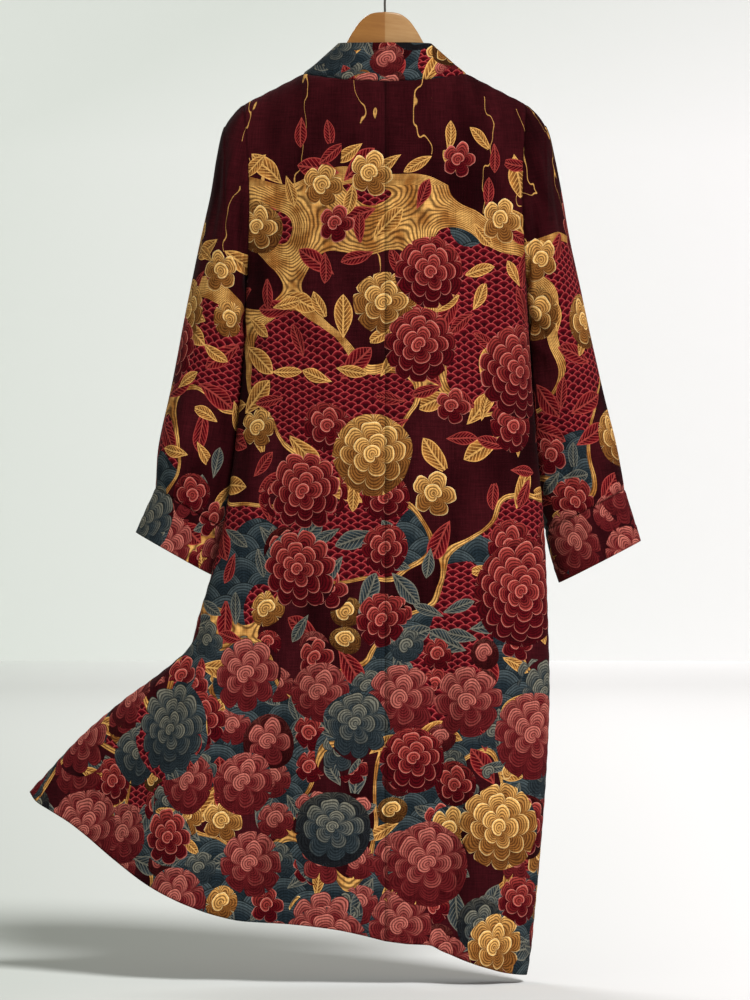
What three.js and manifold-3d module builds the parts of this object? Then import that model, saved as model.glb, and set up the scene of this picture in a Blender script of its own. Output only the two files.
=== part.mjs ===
// A long kimono robe hanging from a contoured wooden hanger, with one lower corner of the skirt blown out sideways.
// Millimetres, +Z up. The origin is the inside top of the hook, where it rests on a rail.
// -Y is the wearer's back and +Y the open front. Left and right are as seen from behind.
import * as THREE from "three";
import Module from "manifold-3d";
import { mergeVertices } from "three/addons/utils/BufferGeometryUtils.js";

// ---- driving sizes -------------------------------------------------------------------------------------------------
const CLOTH = 1.6; // wall of the single cloth
const BAND = 2.4; // wall of the folded collar band
const SEAM_GAP = 0.3; // between two sewn pieces
const SQUARENESS = 2.8; // exponent of the body's cross-section: 2 is an ellipse, more is boxier
const FRONT_SQUARENESS = 2.4;

const NECK = { backZ: -173.5, sideX: 115, sideZ: -160.4, backY: -46 };
const SHOULDER = { x: 198, z: -202 }; // the outer end of the shoulder seam
const UNDERARM_Z = -450;
const ARMHOLE = { bow: 6, bowCurve: 1.5, back: 54, front: 46, rounding: 0.4, reach: 5 }; // more reach is more local
const SWEEP = { slope: 0.15, soft: 30, fadeZ: -1100, least: 0.4 }; // how far the arms and the sides lean to the front
const COLLAR = { width: 62, topZ: -118.4, topX: 61, topY: -21, squareness: 3, tiltCurve: 1.3, kick: 4, stand: 2 };
const OPENING = { x: 76, vDepth: 340, centreZ: -462, curve: 1.5 }; // where the fronts end, and how deep the V is
const FRONT_HEM = { rise: 12, joinCurve: 8 }; // higher than the back's, and back to it close to the side seam
const CENTRE_BACK_ROW_Z = -462; // level of the centre back beside the underarm
const CENTRE_HEM_Z = -1369.5;

// How far the wall stands off the side seams, at each level.
const DEPTHS = [
  { z: -200, back: 68, front: 50 },
  { z: -330, back: 74, front: 52 },
  { z: -520, back: 68, front: 47 },
  { z: -760, back: 62, front: 46 },
  { z: -1000, back: 64, front: 50 },
  { z: -1200, back: 70, front: 56 },
  { z: -1450, back: 76, front: 60 },
];

// Each half's side seam from the underarm to the hem's corner, and the hem from the centre back to that corner.
const HALVES = {
  left: {
    sign: -1,
    underarmX: -193,
    flare: { fromX: 262, spanX: 239, drift: 58, slim: 0.3, slimFromX: 131 },
    side: [
      { x: -193, z: -450 },
      { x: -196, z: -545 },
      { x: -205, z: -640 },
      { x: -215, z: -724 },
      { x: -229, z: -806 },
      { x: -246, z: -872 },
      { x: -262, z: -924 },
      { x: -272, z: -960 },
      { x: -294, z: -983 },
      { x: -327, z: -1009 },
      { x: -366, z: -1037 },
      { x: -431, z: -1093 },
      { x: -502, z: -1170 },
    ],
    hem: [
      { x: 0, z: -1369.5 },
      { x: -32, z: -1361 },
      { x: -77, z: -1352 },
      { x: -133, z: -1346 },
      { x: -198, z: -1343.5 },
      { x: -226, z: -1338 },
      { x: -256, z: -1329 },
      { x: -290, z: -1316 },
      { x: -336, z: -1292 },
      { x: -376, z: -1264 },
      { x: -428, z: -1223 },
      { x: -466, z: -1198 },
      { x: -492, z: -1183 },
      { x: -502, z: -1170 },
    ],
  },
  right: {
    sign: 1,
    underarmX: 198,
    flare: { fromX: 400, spanX: 100, drift: 0, slim: 0, slimFromX: 200 },
    side: [
      { x: 198, z: -450 },
      { x: 203, z: -550 },
      { x: 213, z: -686 },
      { x: 223, z: -800 },
      { x: 228, z: -925 },
      { x: 230, z: -1030 },
      { x: 225, z: -1150 },
      { x: 216, z: -1260 },
      { x: 208, z: -1350 },
      { x: 205, z: -1382 },
      { x: 198, z: -1421 },
    ],
    hem: [
      { x: 0, z: -1369.5 },
      { x: 31, z: -1373.5 },
      { x: 62, z: -1376 },
      { x: 79, z: -1384 },
      { x: 101, z: -1393 },
      { x: 133, z: -1405 },
      { x: 168, z: -1416 },
      { x: 198, z: -1421 },
    ],
  },
};

// Sleeve sections from the armhole to the cuff's hem: outer and inner end, half the depth, and the middle's place in Y.
const SLEEVES = {
  left: [
    { ox: -198, oz: -202, ix: -193, iz: -450, half: 50, y: 23 },
    { ox: -212, oz: -214, ix: -198, iz: -449.5, half: 52, y: 26 },
    { ox: -226, oz: -236, ix: -199, iz: -455, half: 54, y: 30 },
    { ox: -235, oz: -275, ix: -196, iz: -468, half: 56, y: 35 },
    { ox: -244, oz: -326, ix: -191, iz: -490, half: 57, y: 41 },
    { ox: -259, oz: -390, ix: -188, iz: -522, half: 57, y: 47 },
    { ox: -275, oz: -470, ix: -187, iz: -568, half: 56, y: 52 },
    { ox: -299, oz: -588, ix: -192, iz: -646, half: 54, y: 56 },
    { ox: -318, oz: -678, ix: -206, iz: -730, half: 50, y: 58 },
    { ox: -323, oz: -740, ix: -226, iz: -799, half: 44, y: 58 },
    { ox: -336, oz: -770, ix: -236, iz: -830, half: 44, y: 58 },
    { ox: -350, oz: -803, ix: -246, iz: -862, half: 46, y: 58 },
  ],
  right: [
    { ox: 198, oz: -202, ix: 198, iz: -450, half: 50, y: 23 },
    { ox: 215, oz: -217, ix: 203, iz: -449.5, half: 52, y: 26 },
    { ox: 229, oz: -240, ix: 204, iz: -455, half: 54, y: 30 },
    { ox: 238, oz: -275, ix: 201, iz: -468, half: 56, y: 35 },
    { ox: 249, oz: -330, ix: 196, iz: -490, half: 57, y: 41 },
    { ox: 261, oz: -394, ix: 194, iz: -522, half: 57, y: 47 },
    { ox: 278, oz: -472, ix: 194, iz: -568, half: 56, y: 52 },
    { ox: 303, oz: -588, ix: 200, iz: -646, half: 54, y: 56 },
    { ox: 324, oz: -672, ix: 212, iz: -730, half: 50, y: 58 },
    { ox: 338, oz: -742, ix: 227, iz: -800, half: 44, y: 58 },
    { ox: 348, oz: -778, ix: 236, iz: -838, half: 44, y: 58 },
    { ox: 359, oz: -815, ix: 247, iz: -873, half: 46, y: 58 },
  ],
};
const CUFF_SEAM_ROW = 9;
const SLEEVE_SETTLES = 3; // table rows over which the armhole's own shape turns into the sleeve's section
const SLEEVE_CLEAR = 4.5; // the least distance from the middle of a sleeve's wall to the middle of the body's

// Soft folds: a ridge (depth over 0) or trough along a line from (x, z) to (toX, toZ), with its half-width.
const BACK_FOLDS = [
  { x: -150, z: -230, toX: -128, toZ: -520, width: 17, depth: -4 },
  { x: -172, z: -215, toX: -166, toZ: -560, width: 15, depth: 4 },
  { x: 150, z: -235, toX: 122, toZ: -500, width: 18, depth: -4 },
  { x: 174, z: -225, toX: 172, toZ: -640, width: 16, depth: 5 },
  { x: -62, z: -600, toX: -96, toZ: -1360, width: 34, depth: 6 },
  { x: -120, z: -800, toX: -196, toZ: -1350, width: 32, depth: -8 },
  { x: -190, z: -880, toX: -318, toZ: -1320, width: 34, depth: 9 },
  { x: -238, z: -940, toX: -424, toZ: -1240, width: 28, depth: -8 },
  { x: 88, z: -900, toX: 70, toZ: -1395, width: 26, depth: -11 },
  { x: 112, z: -760, toX: 126, toZ: -1400, width: 30, depth: 8 },
  { x: 18, z: -980, toX: 8, toZ: -1380, width: 30, depth: -5 },
  { x: 180, z: -900, toX: 176, toZ: -1410, width: 18, depth: -5 },
];
const FOLD = { comesIn: 0.4, runsOn: 1.2 }; // as shares of a fold's line
const FRONT_FOLDS = [
  { x: -140, z: -240, toX: -120, toZ: -620, width: 20, depth: 4 },
  { x: 142, z: -240, toX: 124, toZ: -640, width: 20, depth: 4 },
  { x: -130, z: -620, toX: -200, toZ: -1330, width: 30, depth: -7 },
  { x: -170, z: -820, toX: -300, toZ: -1290, width: 32, depth: 8 },
  { x: 118, z: -700, toX: 120, toZ: -1390, width: 24, depth: 7 },
  { x: 160, z: -800, toX: 164, toZ: -1390, width: 20, depth: -6 },
];

// Mesh fineness.
const ARM_ROWS = 12;
const LOW_ROWS = 20;
const ROWS = ARM_ROWS + LOW_ROWS;
const ARM_SHARE = 0.26; // of the panel's length
const NECK_COLUMNS = 5;
const SIDE_COLUMNS = 11;
const RINGS_A_ROW = 2;
const BAND_STRIPS = 2;

const HANGER = {
  half: 8, // half its thickness at the middle
  tipHalf: 6,
  corner: 2.5,
  soft: 13, // how blunt the ridge between the arms is
  reach: 186,
  sections: [
    { x: 0, top: -74, bottom: -166 },
    { x: 20, top: -76.5, bottom: -166 },
    { x: 34, top: -86, bottom: -167 },
    { x: 45, top: -101, bottom: -168 },
    { x: 56, top: -119.5, bottom: -170 },
    { x: 80, top: -145, bottom: -178 },
    { x: 118, top: -168, bottom: -196 },
    { x: 150, top: -181.8, bottom: -211 },
    { x: 175, top: -195, bottom: -221 },
    { x: 186, top: -203, bottom: -221 },
  ],
  steps: 26, // on each side of the middle
  bunching: 1.15, // over 1 sets the sections closer together near the middle
  cornerSteps: 3,
};
const HOOK = { wire: 1.6, loop: 20, shankTopZ: -56, seatZ: -98, clearance: 0.3, sides: 8, boreSides: 16, steps: 44 };
const HOOK_BEND = { x: 3.5, rise: 13 }; // where the wire is between the shank's top and the loop
const HOOK_LOOP = { from: -0.3, to: 1.12, steps: 8 }; // in half turns
const WELD = 1e-4; // corners closer than this are one

// ---- small helpers -------------------------------------------------------------------------------------------------
const lerp = (a, b, t) => a + (b - a) * t;
const clamp = (v, low = 0, high = 1) => Math.min(high, Math.max(low, v));
const smooth = (t) => clamp(t) ** 2 * (3 - 2 * clamp(t));
const lean = (x, soft = SWEEP.soft) => SWEEP.slope * (Math.hypot(x, soft) - soft); // the arms' line as seen from above

// A smooth line through a table's rows: t from 0 to 1 by distance, or by row number where byRow is true.
function track(rows, byRow = false) {
  const names = Object.keys(rows[0]);
  const gap = (a, b) => (byRow ? 1 : Math.hypot(...names.map((n) => b[n] - a[n])));
  const at = [0];
  for (let i = 1; i < rows.length; i++) at.push(at[i - 1] + gap(rows[i - 1], rows[i]));
  const last = rows.length - 1;
  const slope = (i, n) => {
    const a = Math.max(i - 1, 0);
    const b = Math.min(i + 1, last);
    return (rows[b][n] - rows[a][n]) / (at[b] - at[a]);
  };
  return (t) => {
    const s = clamp(t) * at[last];
    let i = 0;
    while (i < last - 1 && at[i + 1] < s) i++;
    const span = at[i + 1] - at[i];
    const u = (s - at[i]) / span;
    const found = {};
    for (const n of names) {
      const [p, q] = [rows[i][n], rows[i + 1][n]];
      const [m, k] = [slope(i, n) * span, slope(i + 1, n) * span];
      found[n] = p + u * (m + u * (3 * (q - p) - 2 * m - k + u * (2 * (p - q) + m + k)));
    }
    return found;
  };
}

// A table's other columns at a given value of its first one, joined by straight lines.
function lookUp(rows, key, value) {
  const up = rows[rows.length - 1][key] > rows[0][key];
  let i = 0;
  while (i < rows.length - 2 && (up ? rows[i + 1][key] < value : rows[i + 1][key] > value)) i++;
  const t = clamp((value - rows[i][key]) / (rows[i + 1][key] - rows[i][key]));
  return Object.fromEntries(Object.keys(rows[i]).map((n) => [n, lerp(rows[i][n], rows[i + 1][n], t)]));
}

// ---- the body's shape ----------------------------------------------------------------------------------------------
const across = (angle) => Math.sin(angle) ** (2 / SQUARENESS); // share of the half-width
const closing = (u, power) => Math.max(0, 1 - clamp(u) ** power) ** (1 / power); // 1 in the middle, 0 at the side
// The wall's distance from the sides' plane: full in the middle, and edge where u is 1.
function standOff(u, full, edge, power) {
  if (full === 0) return 0;
  const share = (edge / full) ** (power * (1 + ARMHOLE.reach * (1 - u)));
  return full * Math.max(0, 1 - u ** power * (1 - share)) ** (1 / power);
}
const angleOf = (u) => Math.asin(clamp(u) ** (SQUARENESS / 2));

// What a row of the panels is: how far down the armhole and down the panel it lies.
function rowFacts(k) {
  const turn = (Math.PI * Math.min(k, ARM_ROWS)) / ARM_ROWS;
  const drop = (1 - Math.cos(turn)) / 2;
  const low = Math.max(0, k - ARM_ROWS) / LOW_ROWS;
  const rounded = Math.sqrt(1 - (1 - Math.min(1, drop / ARMHOLE.rounding)) ** 2);
  return { turn, drop, low, rounded, share: ARM_SHARE * drop + (1 - ARM_SHARE) * low };
}

function foldDepth(folds, x, z) {
  let sum = 0;
  for (const f of folds) {
    const [dx, dz] = [f.toX - f.x, f.toZ - f.z];
    const along = clamp(((x - f.x) * dx + (z - f.z) * dz) / (dx * dx + dz * dz), 0, FOLD.runsOn);
    const off = Math.hypot(x - f.x - along * dx, z - f.z - along * dz);
    sum += f.depth * Math.exp(-((off / f.width) ** 2)) * smooth(along / FOLD.comesIn);
  }
  return sum;
}

// One half of the body: functions for its back and its front wall.
function bodyHalf(half) {
  const { sign, flare } = half;
  const sideSeam = track(half.side);
  const hem = track(half.hem);
  const neckSide = { x: sign * NECK.sideX, z: NECK.sideZ };
  const shoulder = { x: sign * SHOULDER.x, z: SHOULDER.z };

  const sideAt = (k) => {
    const { drop, low } = rowFacts(k);
    if (k > ARM_ROWS) return sideSeam(low);
    return {
      x: lerp(shoulder.x, half.underarmX, drop) - sign * ARMHOLE.bow * (4 * drop * (1 - drop)) ** ARMHOLE.bowCurve,
      z: lerp(shoulder.z, UNDERARM_Z, drop),
    };
  };
  const centreAt = (k) => {
    const { drop, low } = rowFacts(k);
    const z = k > ARM_ROWS ? lerp(CENTRE_BACK_ROW_Z, CENTRE_HEM_Z, low) : lerp(NECK.backZ, CENTRE_BACK_ROW_Z, drop);
    return { x: 0, z };
  };
  // The back's hem at a distance |x| from the centre, for the fronts to follow.
  const hemZ = (x) => lookUp(half.hem.map((r) => ({ x: Math.abs(r.x), z: r.z })), "x", Math.abs(x)).z;
  const openingAt = (k) => {
    const { drop, low } = rowFacts(k);
    const frontHem = hemZ(OPENING.x) + FRONT_HEM.rise;
    const z = k > ARM_ROWS ? lerp(OPENING.centreZ, frontHem, low) : lerp(NECK.sideZ, OPENING.centreZ, drop);
    const rise = clamp(1 - (NECK.sideZ - z) / OPENING.vDepth) ** OPENING.curve;
    return { x: sign * lerp(OPENING.x, NECK.sideX, rise), z };
  };

  // The top edges: the back's runs over the neck seam and the shoulder seam, the front's over the shoulder seam.
  const topBack = (u) => {
    const x = u * SHOULDER.x;
    const z =
      x < NECK.sideX
        ? lerp(NECK.backZ, NECK.sideZ, (x / NECK.sideX) ** 2)
        : lerp(NECK.sideZ, SHOULDER.z, (x - NECK.sideX) / (SHOULDER.x - NECK.sideX));
    return { x: sign * x, z };
  };
  const topFront = (u) => ({ x: lerp(neckSide.x, shoulder.x, u), z: lerp(neckSide.z, shoulder.z, u) });
  const hemFront = (u) => {
    const corner = half.hem[half.hem.length - 1];
    const x = lerp(sign * OPENING.x, corner.x, u);
    return { x, z: hemZ(x) + FRONT_HEM.rise * (1 - u ** FRONT_HEM.joinCurve) };
  };

  // A sheet stretched between four edges.
  const patch = (u, k, inner, top, bottom) => {
    const v = rowFacts(k).share;
    const [side, middle] = [sideAt(k), inner(k)];
    const [a, b, c, d] = [top(0), top(1), bottom(0), bottom(1)];
    const blend = (n) =>
      lerp(middle[n], side[n], u) +
      lerp(top(u)[n], bottom(u)[n], v) -
      lerp(lerp(a[n], b[n], u), lerp(c[n], d[n], u), v);
    return { x: blend("x"), z: blend("z") };
  };

  // How far in Y both walls are carried by the forward lean and by the blown corner.
  const carried = (x, z) => {
    const fade = lerp(1, SWEEP.least, clamp((z - SHOULDER.z) / (SWEEP.fadeZ - SHOULDER.z)));
    const blown = clamp((sign * x - flare.fromX) / flare.spanX);
    return lean(x) * fade + flare.drift * smooth(blown);
  };
  const slimmed = (x) => 1 - flare.slim * clamp((sign * x - flare.slimFromX) / flare.spanX);

  const back = (k, angle) => {
    const { turn, drop, rounded } = rowFacts(k);
    const u = across(angle);
    const { x, z } = patch(u, k, centreAt, topBack, (s) => hem(s));
    const hole = ARMHOLE.back * Math.sin(turn) * (drop < 1 ? 1 : 0);
    const neck = NECK.backY * Math.sqrt(1 - clamp((u * SHOULDER.x) / NECK.sideX) ** 2);
    const full = lookUp(DEPTHS, "z", z).back * rounded * slimmed(x);
    const open = closing(u, SQUARENESS);
    const fold = foldDepth(BACK_FOLDS, x, z) * open * rounded;
    return [x, neck * (1 - rounded) - standOff(u, full, hole, SQUARENESS) - fold + carried(x, z), z];
  };
  const front = (k, share) => {
    const { turn, drop, rounded } = rowFacts(k);
    const edge = openingAt(k).x / sideAt(k).x;
    const u = across(lerp(angleOf(edge), Math.PI / 2, share));
    const { x, z } = patch((u - edge) / (1 - edge), k, openingAt, topFront, hemFront);
    const hole = ARMHOLE.front * Math.sin(turn) * (drop < 1 ? 1 : 0);
    const full = lookUp(DEPTHS, "z", z).front * rounded * slimmed(x);
    const open = closing(u, FRONT_SQUARENESS);
    const fold = foldDepth(FRONT_FOLDS, x, z) * open * rounded;
    return [x, standOff(u, full, hole, FRONT_SQUARENESS) + fold + carried(x, z), z];
  };
  // Moves a sleeve's point sideways until it is clear of the body.
  const offBody = ([x, y, z], clearance) => {
    const side = Math.abs(lookUp(half.side, "z", z).x) + clearance;
    const offset = y - carried(sign * side, z);
    const depths = lookUp(DEPTHS, "z", z);
    const share = Math.abs(offset) / ((offset < 0 ? depths.back : depths.front) + clearance);
    const least = z < UNDERARM_Z ? side * closing(share, offset < 0 ? SQUARENESS : FRONT_SQUARENESS) : 0;
    return [sign * Math.max(sign * x, least), y, z];
  };
  return { sign, back, front, offBody, neckAngle: angleOf(NECK.sideX / SHOULDER.x) };
}

// ---- grids of points -----------------------------------------------------------------------------------------------
// A grid is { p: rows of points, ring: whether its columns close }. Outward is the side that column x row faces.
const range = (n) => [...Array(n).keys()];

function backGrid(body) {
  const angles = [
    ...range(NECK_COLUMNS).map((j) => (body.neckAngle * j) / NECK_COLUMNS),
    ...range(SIDE_COLUMNS + 1).map((j) => lerp(body.neckAngle, Math.PI / 2, j / SIDE_COLUMNS)),
  ];
  return { p: range(ROWS + 1).map((k) => angles.map((a) => body.back(k, a))) };
}

function frontGrid(body) {
  return { p: range(ROWS + 1).map((k) => range(SIDE_COLUMNS + 1).map((j) => body.front(k, j / SIDE_COLUMNS))) };
}

// The armhole as a loop: from the shoulder down the back to the underarm, and up the front.
function armhole(back, front) {
  const edge = (g, k) => g.p[k][g.p[k].length - 1];
  return [
    ...range(ARM_ROWS).map((k) => edge(back, k)),
    ...range(ARM_ROWS).map((k) => edge(front, ARM_ROWS - k)),
  ];
}

// A sleeve's ring at a row number of its table.
function ringAt(table, row) {
  const s = track(table, true)(row / (table.length - 1));
  const [midX, midZ] = [(s.ox + s.ix) / 2, (s.oz + s.iz) / 2];
  return range(2 * ARM_ROWS).map((i) => {
    const turn = (Math.PI * i) / ARM_ROWS;
    const out = Math.cos(turn);
    return [lerp(midX, s.ox, out), s.y - s.half * Math.sin(turn), lerp(midZ, s.oz, out)];
  });
}

function sleeveGrids(table, hole, body) {
  const start = ringAt(table, 0);
  const ring = (n) => {
    const row = n / RINGS_A_ROW;
    const keep = 1 - smooth(row / SLEEVE_SETTLES);
    const clearance = SLEEVE_CLEAR * Math.min(1, row);
    const shaped = ringAt(table, row).map((p, i) => p.map((v, a) => v + keep * (hole[i][a] - start[i][a])));
    return n === 0 ? hole : shaped.map((p) => body.offBody(p, clearance));
  };
  const seam = CUFF_SEAM_ROW * RINGS_A_ROW;
  const hem = (table.length - 1) * RINGS_A_ROW;
  return {
    sleeve: { p: range(seam + 1).map(ring), ring: true },
    cuff: { p: range(hem - seam + 1).map((n) => ring(n + seam)), ring: true },
  };
}

// The collar band, from one front hem up over the back of the neck and down to the other.
function collarGrid(bodies, grids) {
  const line = [];
  const frontEdge = (name, k) => {
    const sign = bodies[name].sign;
    const seam = grids["front_" + name].p[k][0];
    const rise = clamp(1 - (NECK.sideZ - seam[2]) / OPENING.vDepth);
    const tilt = Math.atan2(COLLAR.topZ - NECK.sideZ, NECK.sideX - COLLAR.topX) * rise ** COLLAR.tiltCurve;
    const free = [
      seam[0] - sign * COLLAR.width * Math.cos(tilt),
      seam[1] + COLLAR.kick * (1 - rise) + COLLAR.stand,
      seam[2] + COLLAR.width * Math.sin(tilt),
    ];
    return { seam, free };
  };
  const neckEdge = (name, j) => {
    const seam = grids["back_" + name].p[0][j];
    const out = Math.abs(seam[0]) / NECK.sideX;
    const side = frontEdge(name, 0).free;
    return { seam, free: [side[0] * out, lerp(side[1], COLLAR.topY, closing(out, COLLAR.squareness)), COLLAR.topZ] };
  };
  for (const k of range(ROWS + 1).reverse()) line.push(frontEdge("left", k));
  for (const j of range(NECK_COLUMNS).reverse()) line.push(neckEdge("left", j));
  for (const j of range(NECK_COLUMNS - 1)) line.push(neckEdge("right", j + 1));
  for (const k of range(ROWS + 1)) line.push(frontEdge("right", k));
  const between = (l, t) => l.seam.map((v, a) => lerp(v, l.free[a], t));
  return { p: line.map((l) => range(BAND_STRIPS + 1).map((i) => between(l, i / BAND_STRIPS))) };
}

// ---- walls ---------------------------------------------------------------------------------------------------------
const vector = (p) => new THREE.Vector3(...p);

// Each point's normal, on the side given by outward (1 or -1).
function addNormals(grid, outward) {
  const { p, ring } = grid;
  const [rows, columns] = [p.length, p[0].length];
  grid.n = p.map((row, i) =>
    row.map((_, j) => {
      const left = ring ? (j + columns - 1) % columns : Math.max(j - 1, 0);
      const right = ring ? (j + 1) % columns : Math.min(j + 1, columns - 1);
      const alongRow = vector(p[i][right]).sub(vector(p[i][left]));
      const down = vector(p[Math.min(i + 1, rows - 1)][j]).sub(vector(p[Math.max(i - 1, 0)][j]));
      return alongRow.cross(down).normalize().multiplyScalar(outward);
    }),
  );
}

// Points that two pieces share at a seam get one normal, so that their walls meet face to face.
function shareNormals(grids) {
  const shared = new Map();
  const key = (p) => p.map((v) => Math.round(v * 100)).join();
  for (const g of grids)
    g.p.forEach((row, i) =>
      row.forEach((p, j) => {
        const sum = shared.get(key(p)) ?? new THREE.Vector3();
        shared.set(key(p), sum.add(g.n[i][j]));
      }),
    );
  for (const g of grids) g.n = g.p.map((row) => row.map((p) => shared.get(key(p)).clone().normalize()));
}

// Draws the piece's edges in by half the seam gap, square to the seam and to the normal.
function drawIn(grid) {
  const { p, n, ring } = grid;
  const [rows, columns] = [p.length, p[0].length];
  const shifted = p.map((row) => row.map((q) => vector(q)));
  const shift = (i, j, before, after, inner) => {
    const seam = vector(after).sub(vector(before));
    const square = seam.cross(n[i][j]).normalize();
    const inward = Math.sign(square.dot(vector(inner).sub(vector(p[i][j]))));
    shifted[i][j].addScaledVector(square, (inward * SEAM_GAP) / 2);
  };
  for (const j of range(columns)) {
    const before = ring ? (j + columns - 1) % columns : Math.max(j - 1, 0);
    const after = ring ? (j + 1) % columns : Math.min(j + 1, columns - 1);
    shift(0, j, p[0][before], p[0][after], p[1][j]);
    shift(rows - 1, j, p[rows - 1][before], p[rows - 1][after], p[rows - 2][j]);
  }
  if (!ring)
    for (const i of range(rows)) {
      const [before, after] = [p[Math.max(i - 1, 0)], p[Math.min(i + 1, rows - 1)]];
      shift(i, 0, before[0], after[0], p[i][1]);
      shift(i, columns - 1, before[columns - 1], after[columns - 1], p[i][columns - 2]);
    }
  grid.p = shifted.map((row) => row.map((q) => q.toArray()));
}

// The closed wall on both sides of a grid of points.
function wall(grid, thickness) {
  const { p, n, ring } = grid;
  const [rows, columns] = [p.length, p[0].length];
  const positions = [];
  for (const side of [1, -1])
    for (const i of range(rows))
      for (const j of range(columns))
        positions.push(...vector(p[i][j]).addScaledVector(n[i][j], (side * thickness) / 2).toArray());
  const at = (i, j, inner) => (inner ? rows * columns : 0) + i * columns + (j % columns);
  const faces = [];
  const quad = (a, b, c, d) => faces.push(a, b, c, a, c, d);
  const last = ring ? columns : columns - 1;
  for (const i of range(rows - 1))
    for (const j of range(last)) {
      quad(at(i, j), at(i + 1, j), at(i + 1, j + 1), at(i, j + 1));
      quad(at(i, j, 1), at(i, j + 1, 1), at(i + 1, j + 1, 1), at(i + 1, j, 1));
    }
  for (const j of range(last)) {
    quad(at(0, j), at(0, j + 1), at(0, j + 1, 1), at(0, j, 1));
    quad(at(rows - 1, j), at(rows - 1, j, 1), at(rows - 1, j + 1, 1), at(rows - 1, j + 1));
  }
  if (!ring)
    for (const i of range(rows - 1)) {
      quad(at(i, 0), at(i, 0, 1), at(i + 1, 0, 1), at(i + 1, 0));
      quad(at(i, last), at(i + 1, last), at(i + 1, last, 1), at(i, last, 1));
    }
  return facingOut(positions, faces);
}

// The closed geometry of these corners and faces, turned round if it is inside out.
function facingOut(positions, faces) {
  const geometry = new THREE.BufferGeometry();
  geometry.setAttribute("position", new THREE.Float32BufferAttribute(positions, 3)).setIndex(faces);
  const [p, index] = [geometry.attributes.position, geometry.index.array];
  const corner = (i) => new THREE.Vector3().fromBufferAttribute(p, index[i]);
  let volume = 0;
  for (let i = 0; i < index.length; i += 3) volume += corner(i).dot(corner(i + 1).cross(corner(i + 2)));
  if (volume < 0)
    for (let i = 0; i < index.length; i += 3) [index[i + 1], index[i + 2]] = [index[i + 2], index[i + 1]];
  return geometry;
}

// ---- the hanger ----------------------------------------------------------------------------------------------------
// A rounded oblong in the YZ plane, as a ring of points.
function hangerSection(x, top, bottom) {
  const { corner, cornerSteps } = HANGER;
  const half = lerp(HANGER.half, HANGER.tipHalf, Math.abs(x) / HANGER.reach);
  const middle = (top + bottom) / 2;
  const high = (top - bottom) / 2;
  const points = [];
  for (const [cy, cz, from] of [[1, 1, 0], [-1, 1, 1], [-1, -1, 2], [1, -1, 3]])
    for (const step of range(cornerSteps + 1)) {
      const a = ((from + step / cornerSteps) * Math.PI) / 2;
      points.push([
        x,
        cy * (half - corner) + corner * Math.cos(a) + lean(x, HANGER.soft),
        middle + cz * (high - corner) + corner * Math.sin(a),
      ]);
    }
  return points;
}

function loft(rings) {
  const count = rings[0].length;
  const positions = rings.flat(2);
  const faces = [];
  for (const i of range(rings.length - 1))
    for (const j of range(count)) {
      const [a, b] = [i * count + j, i * count + ((j + 1) % count)];
      faces.push(a, b, b + count, a, b + count, a + count);
    }
  const end = (rings.length - 1) * count;
  for (let j = 1; j < count - 1; j++) faces.push(0, j + 1, j, end, end + j, end + j + 1);
  return facingOut(positions, faces);
}

function hangerBody(wasm) {
  const rings = range(2 * HANGER.steps + 1).map((i) => {
    const t = i / HANGER.steps - 1;
    const x = Math.sign(t) * HANGER.reach * Math.abs(t) ** HANGER.bunching;
    const { top, bottom } = lookUp(HANGER.sections, "x", Math.abs(x));
    return hangerSection(x, top, bottom);
  });
  const radius = HOOK.wire + HOOK.clearance;
  const length = HOOK.shankTopZ - HOOK.seatZ; // of the cutter, well past the top of the wood
  const bore = new THREE.CylinderGeometry(radius, radius, length, HOOK.boreSides);
  bore.rotateX(Math.PI / 2).translate(0, 0, HOOK.seatZ - HOOK.clearance + length / 2);
  const solid = (geometry) => {
    geometry.deleteAttribute("normal");
    geometry.deleteAttribute("uv");
    const merged = mergeVertices(geometry, WELD);
    const vertProperties = merged.attributes.position.array;
    const triVerts = new Uint32Array(merged.index.array);
    return new wasm.Manifold(new wasm.Mesh({ numProp: 3, vertProperties, triVerts }));
  };
  const mesh = solid(loft(rings)).subtract(solid(bore)).getMesh();
  return new THREE.BufferGeometry()
    .setAttribute("position", new THREE.BufferAttribute(mesh.vertProperties, 3))
    .setIndex(new THREE.BufferAttribute(mesh.triVerts, 1));
}

// The hook: a straight shank, a side bend, and three quarters of a loop that ends in a short straight tip.
function hangerHook() {
  const { wire, loop } = HOOK;
  const centreZ = wire - loop;
  const round = range(HOOK_LOOP.steps + 1).map((i) => {
    const a = lerp(HOOK_LOOP.from, HOOK_LOOP.to, i / HOOK_LOOP.steps) * Math.PI;
    return new THREE.Vector3(loop * Math.cos(a), 0, centreZ + loop * Math.sin(a));
  });
  const path = new THREE.CatmullRomCurve3(
    [
      new THREE.Vector3(0, 0, HOOK.seatZ),
      new THREE.Vector3(0, 0, (HOOK.seatZ + HOOK.shankTopZ) / 2),
      new THREE.Vector3(0, 0, HOOK.shankTopZ),
      new THREE.Vector3(HOOK_BEND.x, 0, HOOK.shankTopZ + HOOK_BEND.rise),
      ...round,
    ],
    false,
    "centripetal",
  );
  const section = new THREE.Shape(range(HOOK.sides).map((i) => {
    const a = (2 * Math.PI * i) / HOOK.sides;
    return new THREE.Vector2(wire * Math.cos(a), wire * Math.sin(a));
  }));
  return new THREE.ExtrudeGeometry(section, { steps: HOOK.steps, extrudePath: path });
}

// ---- the parts -----------------------------------------------------------------------------------------------------
const wasm = await Module();
wasm.setup();

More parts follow.
